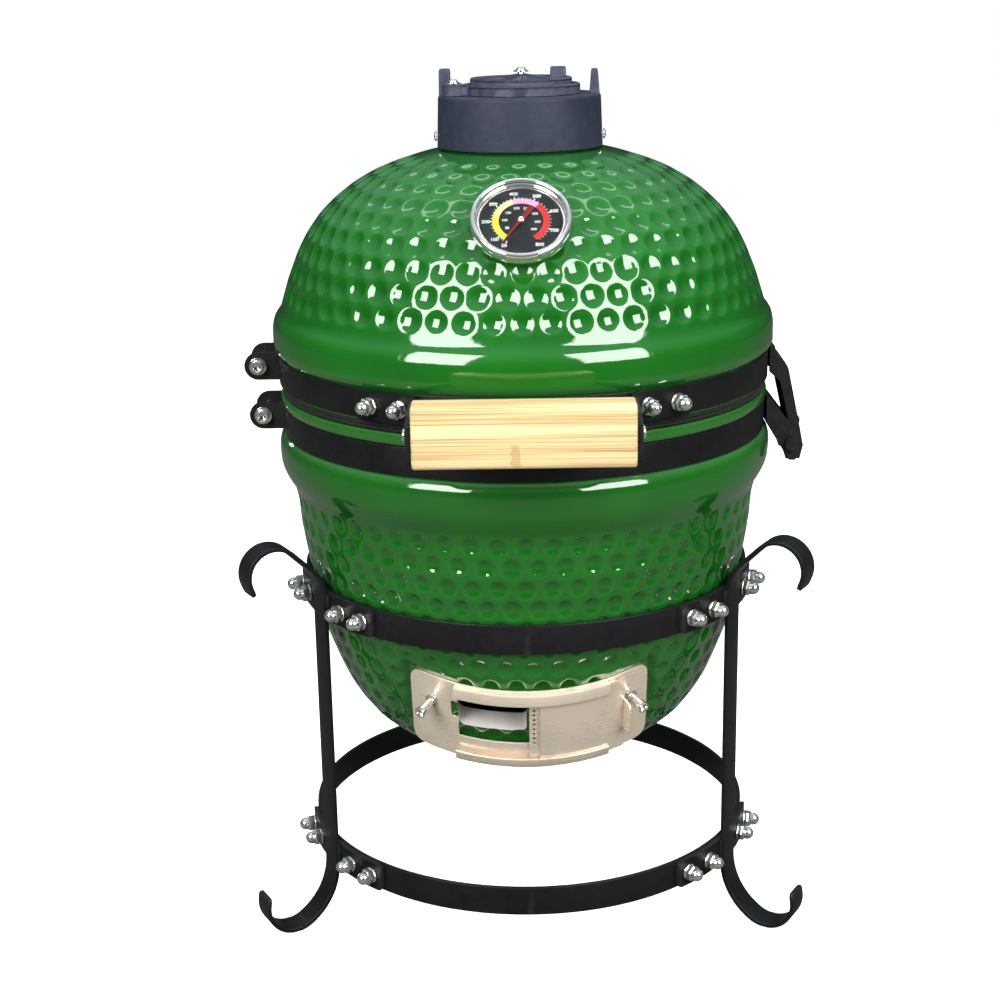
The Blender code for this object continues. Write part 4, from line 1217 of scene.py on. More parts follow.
@dataclass
class EggBody:
    """Lid and bowl: both glazed shells, their felt seals and the vent's seat."""

    egg: Egg
    finishes: Finishes
    vent: Matrix
    bowl_count: int = 58
    lid_outside: Outline = field(
        default_factory=lambda: [
            (165.9, 373.8), (165.9, 380), (165.9, 387), (165.9, 392), (167.2, 394.9), (170.3, 398),
            (170.9, 406), (170.5, 415), (168.9, 420), (165.6, 424.5), (162.6, 433), (158.7, 445),
            (154.8, 455), (150.4, 465), (144.8, 475), (137.6, 485), (127.8, 495),
            (115.2, 505), (98.6, 514.5), (76, 522.8), (60, 527.2), (54, 528.4),
        ]
    )
    lid_inside: Outline = field(
        default_factory=lambda: [
            (41, 552), (41, 530), (41.5, 518), (50, 516), (70, 513.5), (96, 505), (117, 491), (134, 467.5),
            (146, 437), (149.5, 410), (150.5, 374.0),
        ]
    )
    bowl_outside: Outline = field(
        default_factory=lambda: [
            (62, 111.3), (76, 116.4), (88, 121.8), (97, 127), (104, 132.2), (110, 137), (114.5, 141.2),
            (119, 146.8), (123, 152.5), (129.5, 163.5), (137, 181), (144.5, 202), (149.8, 224),
            (152.8, 245), (157.3, 274), (159.9, 298), (161.6, 304.5), (165.6, 311.5),
            (168.6, 318.5), (169.6, 328), (169.2, 335), (167.8, 338.6), (164.2, 341),
        ]
    )
    bowl_inside: Outline = field(
        default_factory=lambda: [
            (150.5, 367), (150.3, 345), (145, 290), (136, 222), (124, 190), (113, 167), (100, 150),
            (82, 137), (62, 128), (50, 127.3),
        ]
    )

    def dimple_rows(
        self, outside: Outline, low: float, high: float, pitch: float, fixed: int, even: int
    ) -> list[DimpleRow]:
        """Lay rings of dimples over a stretch of the outside.

        Args:
            outside: The profile, in millimetres.
            low: Height of the first ring, in millimetres.
            high: Height that no ring passes, in millimetres.
            pitch: Distance between rings along the profile, in millimetres.
            fixed: Number of dimples in each of the first rings.
            even: How many rings share that number.

        Returns:
            The rings.
        """
        curve = smooth_curve(scaled(outside), 0.4 * MM)
        if curve[0, 1] > curve[-1, 1]:
            curve = curve[::-1]
        up = low < high
        if not up:
            curve = curve[::-1]
        length = np.concatenate([[0], np.cumsum(np.linalg.norm(np.diff(curve, axis=0), axis=1))])
        start = np.argmin(np.abs(curve[:, 1] - low * MM))
        rows: list[DimpleRow] = []
        spot = length[start]
        while spot < length[-1]:
            radius, height = (float(np.interp(spot, length, curve[:, k])) for k in (0, 1))
            if (height > high * MM) == up:
                break
            number = len(rows)
            count = fixed if number < even else round(2 * math.pi * radius / (17.2 * MM))
            phase = 0.5 * (number % 2) if number < even else (0.37 * number) % 1
            rows.append(DimpleRow(radius, height, count, phase))
            spot += pitch * MM
        return rows

    def build(self, gauge: Matrix) -> None:
        """Build both shells and the felts.

        Args:
            gauge: Placement of the thermometer, whose stem goes through the lid.
        """
        lid_rows = self.dimple_rows(self.lid_outside, 438.3, 526, 15.4, 57, 3)
        rim = [(56, 528.6), (50.3, 529.4), (50.3, 552.7), (41.5, 552.7)]
        lid = Shell("dome_shell", self.lid_outside, rim, self.lid_inside, Dimples(lid_rows))
        draft = lid.mesh()
        dome = self.egg.add(
            "dome_shell", draft, self.finishes.glaze, Body.LID, ("lid_dome",), more=(self.finishes.clay,),
            crease=60,
        )
        self._drill(dome, gauge)
        bowl_rows = self.dimple_rows(self.bowl_outside, 297.0, 122, 14.6, self.bowl_count, 5)
        rim = [
            (164, 341), (164, 359.4), (165.6, 360), (167.2, 361.4), (167.3, 366.4), (166.4, 367.9),
            (151.5, 368),
        ]
        bowl = Shell(
            "bowl_shell", self.bowl_outside, rim, self.bowl_inside, Dimples(bowl_rows, 6.3 * MM, 1.95 * MM)
        )
        bowl.base = [(0.1, 127.2), (0.1, 111), (50, 111)]
        bowl.seat = self.vent
        bowl.seat_radius = 123.6 * MM
        bowl.seat_arc = (-83.2 * MM, 86.2 * MM)
        bowl.seat_height = (-32.6 * MM, 34.1 * MM)
        draft = bowl.mesh()
        vessel = self.egg.add(
            "bowl_shell", draft, self.finishes.glaze, Body.BASE, ("base_bowl",), more=(self.finishes.clay,),
            crease=60,
        )
        self._cut_draught(vessel)
        self._felts()

    def _cutter(self, name: str, draft: Draft) -> bpy.types.Object:
        """Make a temporary cutting shape in the egg's place.

        Args:
            name: The shape's name.
            draft: Its mesh.

        Returns:
            The cutting shape.
        """
        bmesh.ops.recalc_face_normals(draft.bm, faces=draft.bm.faces)
        mesh = bpy.data.meshes.new(name)
        draft.bm.to_mesh(mesh)
        draft.bm.free()
        mesh.transform(Matrix.Translation((self.egg.x, self.egg.y, 0)))
        for finish in (self.finishes.glaze, self.finishes.clay):
            mesh.materials.append(finish)
        mesh.polygons.foreach_set("material_index", [1] * len(mesh.polygons))
        made = bpy.data.objects.new(name, mesh)
        bpy.context.scene.collection.objects.link(made)
        return made

    def _cut(self, piece: bpy.types.Object, draft: Draft) -> None:
        """Cut a shape out of a piece for good.

        Args:
            piece: The piece.
            draft: The shape to take away.
        """
        cutter = self._cutter("cutter", draft)
        modifier = piece.modifiers.new("cut", "BOOLEAN")
        modifier.operation = "DIFFERENCE"
        modifier.solver = "EXACT"
        modifier.object = cutter
        graph = bpy.context.evaluated_depsgraph_get()
        made = bpy.data.meshes.new_from_object(piece.evaluated_get(graph), depsgraph=graph)
        piece.modifiers.clear()
        old = piece.data
        piece.data = made
        bpy.data.meshes.remove(old)
        bpy.data.objects.remove(cutter, do_unlink=True)
        made.shade_smooth()
        made.set_sharp_from_angle(angle=math.radians(50))

    def _drill(self, dome: bpy.types.Object, gauge: Matrix) -> None:
        """Drill the thermometer's hole.

        Args:
            dome: The lid's shell.
            gauge: Placement of the thermometer.
        """
        draft = Draft()
        draft.turn(rectangle(0, -45 * MM, 4.2 * MM, 20 * MM), 24, place=gauge)
        self._cut(dome, draft)

    def _cut_draught(self, vessel: bpy.types.Object) -> None:
        """Cut the draught hole, with rounded corners.

        Args:
            vessel: The bowl's shell.
        """
        hole = rounded(scaled(rectangle(-46, -4, -0.7, 22)), 5 * MM, 5)
        draft = Draft()
        draft.plate(hole, -150 * MM, -88 * MM, Plane.XZ, place=self.vent)
        self._cut(vessel, draft)

    def _felts(self) -> None:
        """Two felt rings, slightly pillowed, with their outer edges frayed a little."""
        for name, low, high, body, node in (
            ("bowl_felt", 368.3, 370.6, Body.BASE, "base_gasket"),
            ("lid_felt", 370.9, 373.2, Body.LID, "lid_gasket"),
        ):
            section = rounded(scaled(rectangle(151, low, 165.5, high)), 1.0 * MM, 3)
            draft = Draft().turn(section, 220)
            chance = np.random.default_rng(3)
            for vertex in draft.bm.verts:
                reach = math.hypot(vertex.co.x, vertex.co.y)
                if reach > 164 * MM:
                    vertex.co.xy *= 1 + float(chance.normal(0, 0.0009))
            self.egg.add(name, draft, self.finishes.felt, body, (node,))


# ---------------------------------------------------------------- stand


@dataclass
class Stand:
    """Three scrolled legs, two rings, and the bolts that hold them together."""

    egg: Egg
    finishes: Finishes
    leg_radius: float = 160 * MM
    strip_width: float = 18 * MM
    strip_thickness: float = 3 * MM
    ring_inner: float = 153.3 * MM
    ring_outer: float = 155.9 * MM
    ring_height: float = 20 * MM
    saddle_inner: float = 156.2 * MM
    saddle_outer: float = 159 * MM
    bolt_angles: tuple[float, ...] = (-17.0, -9.0, 9.0, 17.0)
    legs: dict[str, float] = field(
        default_factory=lambda: {"front_left": -60.0, "front_right": 60.0, "rear": 180.0}
    )

    def path(self) -> Outline:
        """The centre line of a leg's bar, from the scroll's tip to the foot's tip.

        Returns:
            The line, as (distance out, height).
        """
        slope = math.radians(45)
        bend = arc_points((190 * MM, 240 * MM), 30 * MM, 180, 135, 8)
        start = (bend[-1][0] + 19 * MM * math.sin(slope), bend[-1][1] + 19 * MM * math.cos(slope))
        middle = (start[0] + 18 * MM * math.cos(slope), start[1] - 18 * MM * math.sin(slope))
        hook = arc_points(middle, 18 * MM, 135, -20, 22)
        tail = math.radians(-20)
        tip = (hook[-1][0] + 6 * MM * math.sin(tail), hook[-1][1] - 6 * MM * math.cos(tail))
        curl_z = 20 * MM * math.cos(math.radians(7.5)) + 1.5 * MM
        sweep = math.radians(240)
        centre = (205 * MM, curl_z - 25 * MM * math.sin(sweep))
        curl = (centre[0] + 25 * MM * math.cos(sweep), curl_z)
        foot = arc_points(centre, 45 * MM, 180, 240, 12)
        angles = [247.5 + 5 * i for i in range(25)]
        round_foot = [
            (curl[0] + 20 * MM * math.cos(math.radians(a)), curl[1] + 20 * MM * math.sin(math.radians(a)))
            for a in angles
        ]
        flat = curl_z - 20 * MM * math.cos(math.radians(7.5))
        round_foot = [(r, max(z, flat)) for r, z in round_foot]
        tail = math.radians(angles[-1])
        end = (round_foot[-1][0] - 6 * MM * math.sin(tail), round_foot[-1][1] + 6 * MM * math.cos(tail))
        straight = [(self.leg_radius, z * MM) for z in (225, 200, 170, 140, 110, 85, 65)]
        return [tip, *reversed(hook), *reversed(bend), *straight, *foot, *round_foot, end]

    def build(self) -> None:
        """Build rings, legs and nuts."""
        nut = AcornNut()
        for name, z in (("foot_ring", 40 * MM), ("cradle_ring", 224 * MM)):
            top = z + self.ring_height
            section = rectangle(self.ring_inner, z, self.ring_outer, top)
            draft = Draft().turn(rounded(section, 0.7 * MM, 3), 288)
            self.egg.add(f"stand_{name}", draft, self.finishes.steel, Body.BASE, (name,))
        for side, azimuth in self.legs.items():
            draft = Draft().strip(
                self.path(), self.strip_thickness, self.strip_width, 0.7 * MM, 2.4 * MM, facing(azimuth)
            )
            for z in (40 * MM, 224 * MM):
                self._saddle(draft, azimuth, z)
            self.egg.add(f"stand_leg_{side}", draft, self.finishes.steel, Body.BASE, (f"leg_{side}",))
            for ring, z in (("cradle", 234 * MM), ("foot", 50 * MM)):
                for number, offset in enumerate(self.bolt_angles, 1):
                    draft = Draft()
                    place = standing_out(azimuth + offset, self.saddle_outer + 0.1 * MM, z)
                    nut.draw(draft, place, 7.0 * number + azimuth)
                    nodes = (f"cradle_nut_{side}_{number}",) if ring == "cradle" else ()
                    self.egg.add(
                        f"{ring}_acorn_{side}_{number}", draft, self.finishes.bright, Body.BASE, nodes
                    )
            self._bolt_heads(side, azimuth)

    def _saddle(self, draft: Draft, azimuth: float, z: float) -> None:
        """Add a saddle plate bent round the ring, with rounded outer corners and a weld along the bar.

        Args:
            draft: The leg's mesh.
            azimuth: The leg's azimuth in degrees.
            z: Height of the ring's lower edge.
        """
        reach = math.radians(20.5) * self.saddle_inner
        outline = rounded(rectangle(-reach, 0.3 * MM, reach, self.ring_height - 0.3 * MM), 4 * MM, 5)
        blank = Draft().plate(outline, -(self.saddle_outer - self.saddle_inner), 0, Plane.XZ)
        blank.slice(0, [reach * i / 12 for i in range(-11, 12)])
        blank.bend(self.saddle_inner, facing(azimuth) @ Matrix.Translation((0, 0, z)))
        for side in (-1, 1):
            across = side * (self.strip_width / 2 + 0.6 * MM)
            rings = []
            for share in (0.06, 0.3, 0.5, 0.7, 0.94):
                spot = Vector((across, -self.saddle_outer, z + self.ring_height * share))
                loop = [Vector((1.3 * MM * a, -1.2 * MM * b, 0)) for a, b in arc_points((0, 0), 1, 0, 315, 7)]
                rings.append([facing(azimuth) @ (spot + step) for step in loop])
            blank.skin(rings)
        draft.absorb(blank)

    def _bolt_heads(self, side: str, azimuth: float) -> None:
        """Add the flat bolt heads inside the foot ring, where they show from behind.

        Args:
            side: The leg's name.
            azimuth: The leg's azimuth in degrees.
        """
        draft = Draft()
        for offset in self.bolt_angles:
            place = standing_out(
                azimuth + offset, self.ring_inner, 50 * MM
            ) @ Matrix.Rotation(math.pi, 4, "X")
            head = [
                (0, -0.4 * MM), (4.8 * MM, -0.4 * MM), (4.8 * MM, 0.4 * MM), (3.2 * MM, 2.0 * MM),
                (0, 2.4 * MM),
            ]
            draft.turn(rounded(head, 0.5 * MM, 2), 24, place=place)
        self.egg.add(f"foot_bolt_heads_{side}", draft, self.finishes.bright, Body.BASE)


# ---------------------------------------------------------------- bands, hinge and handle


@dataclass
class ClampBand:
    """A steel band whose ends turn outward as two ears, drawn together by a bolt."""

    egg: Egg
    finishes: Finishes
    node: str
    low: float
    inner: float
    body: Body
    thickness: float = 1.8 * MM
    height: float = 19 * MM
    gap: float = 32 * MM
    ear_thickness: float = 2 * MM
    reach: float = 23 * MM

    def build(self) -> None:
        """Build the band, its bolt and its nut."""
        inner, outer = self.inner, self.inner + self.thickness
        high = self.low + self.height
        half = math.degrees(self.gap / 2 / inner)
        section = rounded(rectangle(inner, self.low, outer, high), 0.5 * MM, 3)
        draft = Draft().turn(section, 288, (-90 + half, 270 - half))
        middle = (self.low + high) / 2
        tip_radius = self.height / 2
        tip_x = -outer - self.reach + tip_radius
        root = math.sqrt(inner**2 - self.gap**2 / 4) + 0.2 * MM
        outline = [(-root, high), *arc_points((tip_x, middle), tip_radius, 90, 270, 18), (-root, self.low)]
        bore = arc_points((tip_x, middle), 3.2 * MM, 0, 345, 23)
        for side in (-1, 1):
            near, far = sorted((side * self.gap / 2, side * (self.gap / 2 + self.ear_thickness)))
            draft.plate(outline, near, far, Plane.XZ, [bore])
        prefix = self.node.split("_")[0]
        self.egg.add(
            f"{prefix}_clamp_band", draft, self.finishes.steel, self.body, (self.node,), bevel=0.45 * MM
        )
        self._bolt(prefix, Vector((tip_x, 0, middle)))

    def _bolt(self, prefix: str, at: Vector) -> None:
        """A socket-head bolt through both ears, and its nut.

        Args:
            prefix: Whether it is the base or the lid band, for the names.
            at: Middle of the bolt, between the ears.
        """
        face = self.gap / 2 + self.ear_thickness + 0.2 * MM
        place = Matrix.Translation(at + Vector((0, -face, 0))) @ Matrix.Rotation(math.pi / 2, 4, "X")
        draft = Draft()
        head = [
            (0, 0), (4.7 * MM, 0), (4.7 * MM, 6 * MM), (4.2 * MM, 6.5 * MM), (2.9 * MM, 6.5 * MM),
            (2.6 * MM, 6.1 * MM),
            (2.5 * MM, 3 * MM), (0, 2.4 * MM),
        ]
        draft.turn(head, 36, place=place)
        washer = rectangle(0, 0, 6 * MM, 0.9 * MM)
        draft.turn(rounded(washer, 0.3 * MM, 2), 36, place=place)
        draft.rod(2.8 * MM, at + Vector((0, -face, 0)), at + Vector((0, face + 8 * MM, 0)))
        self.egg.add(
            f"{prefix}_socket_bolt", draft, self.finishes.bright, self.body, (f"{prefix}_clamp_bolt",)
        )
        draft = Draft()
        place = Matrix.Translation(at + Vector((0, face, 0))) @ Matrix.Rotation(-math.pi / 2, 4, "X")
        draft.turn(
            [
                (3 * MM, 0), (5.2 * MM, 0), (5.6 * MM, 0.6 * MM),
                (5.6 * MM, 4.4 * MM), (5.0 * MM, 5 * MM), (3 * MM, 5 * MM),
            ],
            6,
            place=place,
        )
        self.egg.add(f"{prefix}_hex_nut", draft, self.finishes.bright, self.body, (f"{prefix}_clamp_nut",))


@dataclass
class Handle:
    """A bamboo grip between two brackets bolted to the lid's band."""

    egg: Egg
    finishes: Finishes
    half_length: float = 65.5 * MM
    y: Point = (-222 * MM, -200 * MM)
    z: Point = (364 * MM, 401.6 * MM)
    plate_x: float = 65.8 * MM
    thickness: float = 3 * MM
    band_face: float = 168.0 * MM
    band_z: Point = (375.2 * MM, 394.2 * MM)
    bolt_angles: tuple[float, float] = (26.5, 33.8)
    flange_arc: Point = (22.9, 37.5)

    def build(self) -> None:
        """Build the grip, brackets, screws and nuts."""
        self._grip()
        nut = AcornNut()
        low, high = self.band_z
        inner = self.band_face + 0.3 * MM
        for side, sign in (("left", -1), ("right", 1)):
            outline = [
                (-154, 394.2), (-211, 394.2), (-219, 391), (-219, 366.5), (-204, 366.5), (-190, 375.2),
                (-154, 375.2),
            ]
            near, far = sorted((sign * self.plate_x, sign * (self.plate_x + self.thickness)))
            draft = Draft().plate(rounded(scaled(outline), 2.5 * MM, 3), near, far, Plane.YZ)
            span = sorted(sign * a for a in self.flange_arc)
            arcs = [math.radians(a) * inner for a in span]
            flange = rounded(rectangle(arcs[0], low, arcs[1], high), 3.5 * MM, 4)
            blank = Draft().plate(flange, -self.thickness, 0, Plane.XZ)
            step = (arcs[1] - arcs[0]) / 8
            blank.slice(0, [arcs[0] + step * i for i in range(1, 8)])
            blank.bend(inner, Matrix.Identity(4))
            draft.absorb(blank)
            self.egg.add(
                f"grip_bracket_{side}", draft, self.finishes.steel, Body.LID, (f"handle_bracket_{side}",),
                bevel=0.5 * MM
            )
            for number, angle in enumerate(self.bolt_angles, 1):
                draft = Draft()
                nut.draw(
                    draft, standing_out(sign * angle, inner + self.thickness + 0.1 * MM, (low + high) / 2),
                    11.0 * number,
                )
                self.egg.add(
                    f"handle_acorn_{side}_{number}", draft, self.finishes.bright, Body.LID,
                    (f"handle_nut_{side}_{number}",)
                )
            draft = Draft()
            at = Vector((sign * (self.plate_x + self.thickness + 0.1 * MM), -211 * MM, 382.8 * MM))
            place = Matrix.Translation(at) @ Matrix.Rotation(sign * math.pi / 2, 4, "Y")
            PanScrew(4.0 * MM, 2.5 * MM, 0).draw(draft, place)
            draft.rod(2 * MM, at, at - Vector((sign * 18 * MM, 0, 0)))
            self.egg.add(
                f"handle_screw_{side}", draft, self.finishes.bright, Body.LID, (f"grip_screw_{side}",)
            )

    def _grip(self) -> None:
        """The bar, with wide eased edges on its front."""
        y0, y1 = self.y
        z0, z1 = self.z
        front, back = 3.6 * MM, 1.6 * MM
        outline = rounded(rectangle(y0, z0, y1, z1), [front, back, back, front], 4)
        ends = [
            (self.half_length, 1.5 * MM), (self.half_length - 0.45 * MM, 0.45 * MM),
            (self.half_length - 1.5 * MM, 0.0),
        ]
        stations = [(-along, inset) for along, inset in ends]
        stations += [(self.half_length * share, 0.0) for share in (-0.5, 0.0, 0.5)]
        stations += ends[::-1]
        centre = Vector(((y0 + y1) / 2, (z0 + z1) / 2))
        rings = []
        for along, inset in stations:
            ring = []
            for y, z in outline:
                dy, dz = y - centre.x, z - centre.y
                ring.append(Vector((along, y - math.copysign(inset, dy), z - math.copysign(inset, dz))))
            rings.append(ring)
        draft = Draft().skin(rings)
        self.egg.add("bamboo_grip", draft, self.finishes.bamboo, Body.LID, ("handle_grip",), crease=50)


@dataclass
class Hinge:
    """The hinge's bracket, arm and pin: their solids stay, with a finish and softened edges."""

    finishes: Finishes
    frame: dict

    def build(self) -> None:
        """Dress the hinge's solids."""
        for node in ("base_hinge_bracket", "lid_hinge_arm", "hinge_pin"):
            solid = self.frame["nodes"][node]
            dress(solid, self.finishes.steel)
            soften(solid, 0.6 * MM, 40)


# ---------------------------------------------------------------- chimney cap


@dataclass
class ChimneyCap:
    """Cast collar with two posts, the plate that swings aside and the wheel with petal holes."""

    egg: Egg
    finishes: Finishes
    pivot: Point = (-43.3 * MM, -15 * MM)
    centre_x: float = 1.2 * MM
    petals: int = 5

    def build(self) -> None:
        """Build every piece of the cap."""
        self._collar()
        self._swing_plate()
        self._wheel()

    def _collar(self) -> None:
        """The collar, its posts and its two set screws."""
        section = [
            (50.8, 529.4), (55.4, 529.4), (54.3, 561.8), (53.2, 563.4), (33, 563.4), (33, 558.4),
            (50.8, 558.4),
        ]
        draft = Draft().turn(rounded(scaled(section), 0.8 * MM, 3), 192)
        left = [(-54, 0.3), (-45.8, 0.3), (-45.8, 10.8), (-52.4, 10.8)]
        self._post(draft, rounded(scaled(left), 1.4 * MM, 3), 560 * MM, 580 * MM, 0.93)
        right = rectangle(46.5, -5, 53.6, 5)
        self._post(draft, rounded(scaled(right), 1.4 * MM, 3), 560 * MM, 579 * MM, 0.6)
        self.egg.add("cast_collar", draft, self.finishes.iron, Body.LID, ("cap_collar",))
        for side, sign in (("left", -1), ("right", 1)):
            draft = Draft()
            place = Matrix.Translation(
                (sign * 55.1 * MM, 0, 536.5 * MM)
            ) @ Matrix.Rotation(sign * math.pi / 2, 4, "Y")
            PanScrew(3.4 * MM, 2.5 * MM, 0).draw(draft, place)
            self.egg.add(
                f"set_screw_{side}", draft, self.finishes.bright, Body.LID, (f"collar_screw_{side}",)
            )

    @staticmethod
    def _post(draft: Draft, outline: Outline, low: float, high: float, top: float) -> None:
        """A post that gets thinner towards its rounded top.

        Args:
            draft: The mesh it goes into.
            outline: Its foot.
            low: Height of its foot.
            high: Height of its top.
            top: Size of its top as a share of the foot's.
        """
        middle = Vector((sum(p[0] for p in outline), sum(p[1] for p in outline))) / len(outline)
        rings = []
        for t in (0, 0.5, 0.9, 0.97, 1.0):
            share = 1 + (top - 1) * t
            if t > 0.9:
                share *= 0.94 if t < 1 else 0.82
            spots = [middle + (Vector(point) - middle) * share for point in outline]
            rings.append([Vector((spot.x, spot.y, low + (high - low) * t)) for spot in spots])
        draft.skin(rings)

    def _petal_loops(self, inner: float, outer: float) -> list[Outline]:
        """The petal holes' outlines, rounded.

        Args:
            inner: Radius of their inner ends.
            outer: Radius of their outer ends.

        Returns:
            The outlines.
        """
        loops = []
        for i in range(self.petals):
            turn = 360 / self.petals * i
            loop = arc_points((0, 0), inner, turn - 13, turn + 13, 3) + arc_points(
                (0, 0), outer, turn + 20.8, turn - 20.8, 9
            )
            loops.append(rounded(loop, 2 * MM, 2))
        return loops

    def _swing_plate(self) -> None:
        """The plate with its boss and the screw it turns on."""
        low, high = 563.7 * MM, 569.2 * MM
        px, py = self.pivot
        centre = Matrix.Translation((self.centre_x, 0, 0))
        ring = arc_points((0, 0), 39.3 * MM, 0, 357, 119)
        draft = Draft().plate(ring, low, high, Plane.XY, self._petal_loops(11.8 * MM, 28.2 * MM), centre)
        lip = [
            (35.2 * MM, high - MM), (39.3 * MM, high - MM), (39.3 * MM, high + 0.2 * MM),
            (38.4 * MM, high + 0.9 * MM), (35.6 * MM, high + 0.6 * MM),
        ]
        draft.turn(lip, 120, place=centre)
        neck = rounded(
            [(px, py - 6 * MM), (-33 * MM, -19 * MM), (-33 * MM, 0), (px, py + 6.5 * MM)], 1.5 * MM
        )
        draft.plate(neck, low, high, Plane.XY)
        boss = [(0, low), (7.5 * MM, low), (7.5 * MM, 570.4 * MM), (6.9 * MM, 571 * MM), (0, 571 * MM)]
        draft.turn(boss, 40, place=Matrix.Translation((px, py, 0)))
        self.egg.add(
            "swing_plate_casting", draft, self.finishes.iron, Body.SWING, ("cap_swing_plate",),
            bevel=0.5 * MM,
        )
        draft = Draft()
        PanScrew(3.4 * MM, 3.2 * MM, 5 * MM).draw(draft, Matrix.Translation((px, py, 571.1 * MM)))
        draft.rod(2 * MM, Vector((px, py, 556 * MM)), Vector((px, py, 572 * MM)))
        self.egg.add("pivot_screw", draft, self.finishes.bright, Body.LID, ("swing_pivot_screw",))
        draft = Draft()
        place = Matrix.Translation((self.centre_x, 0, 577.6 * MM))
        PanScrew(3.4 * MM, 3.2 * MM, 5 * MM).draw(draft, place)
        draft.rod(2 * MM, Vector((self.centre_x, 0, 564.2 * MM)), Vector((self.centre_x, 0, 578 * MM)))
        self.egg.add("centre_screw", draft, self.finishes.bright, Body.SWING, ("wheel_screw",))

    def _wheel(self) -> None:
        """The domed wheel with petal holes and its turning tab."""
        ring = arc_points((0, 0), 33.9 * MM, 0, 357, 119)
        bore = arc_points((0, 0), 2.6 * MM, 0, 340, 17)
        draft = Draft().plate(
            ring, 569.5 * MM, 573.2 * MM, Plane.XY, [bore, *self._petal_loops(11 * MM, 28.6 * MM)]
        )
        steps = [i * 3.2 * MM for i in range(-10, 11)]
        draft.slice(0, steps).slice(1, steps)
        for vertex in draft.bm.verts:
            reach = math.hypot(vertex.co.x, vertex.co.y)
            if vertex.co.z > 571 * MM:
                share = max(0.0, 1 - reach / (27 * MM))
                vertex.co.z += 3.6 * MM * share**1.2
        rim = [
            (30 * MM, 572 * MM), (33.9 * MM, 572 * MM), (33.9 * MM, 573.3 * MM), (33.1 * MM, 574.1 * MM),
            (30.6 * MM, 573.9 * MM),
        ]
        draft.turn(rim, 120)
        tab = rounded(scaled(rectangle(19.5, 11.5, 30.5, 18.5)), 1.2 * MM, 3)
        self._post(draft, tab, 572 * MM, 580 * MM, 0.94)
        draft.bm.transform(Matrix.Translation((self.centre_x, 0, 0)))
        self.egg.add(
            "daisy_wheel_casting", draft, self.finishes.iron, Body.WHEEL, ("daisy_wheel",), bevel=0.35 * MM
        )


# ---------------------------------------------------------------- thermometer


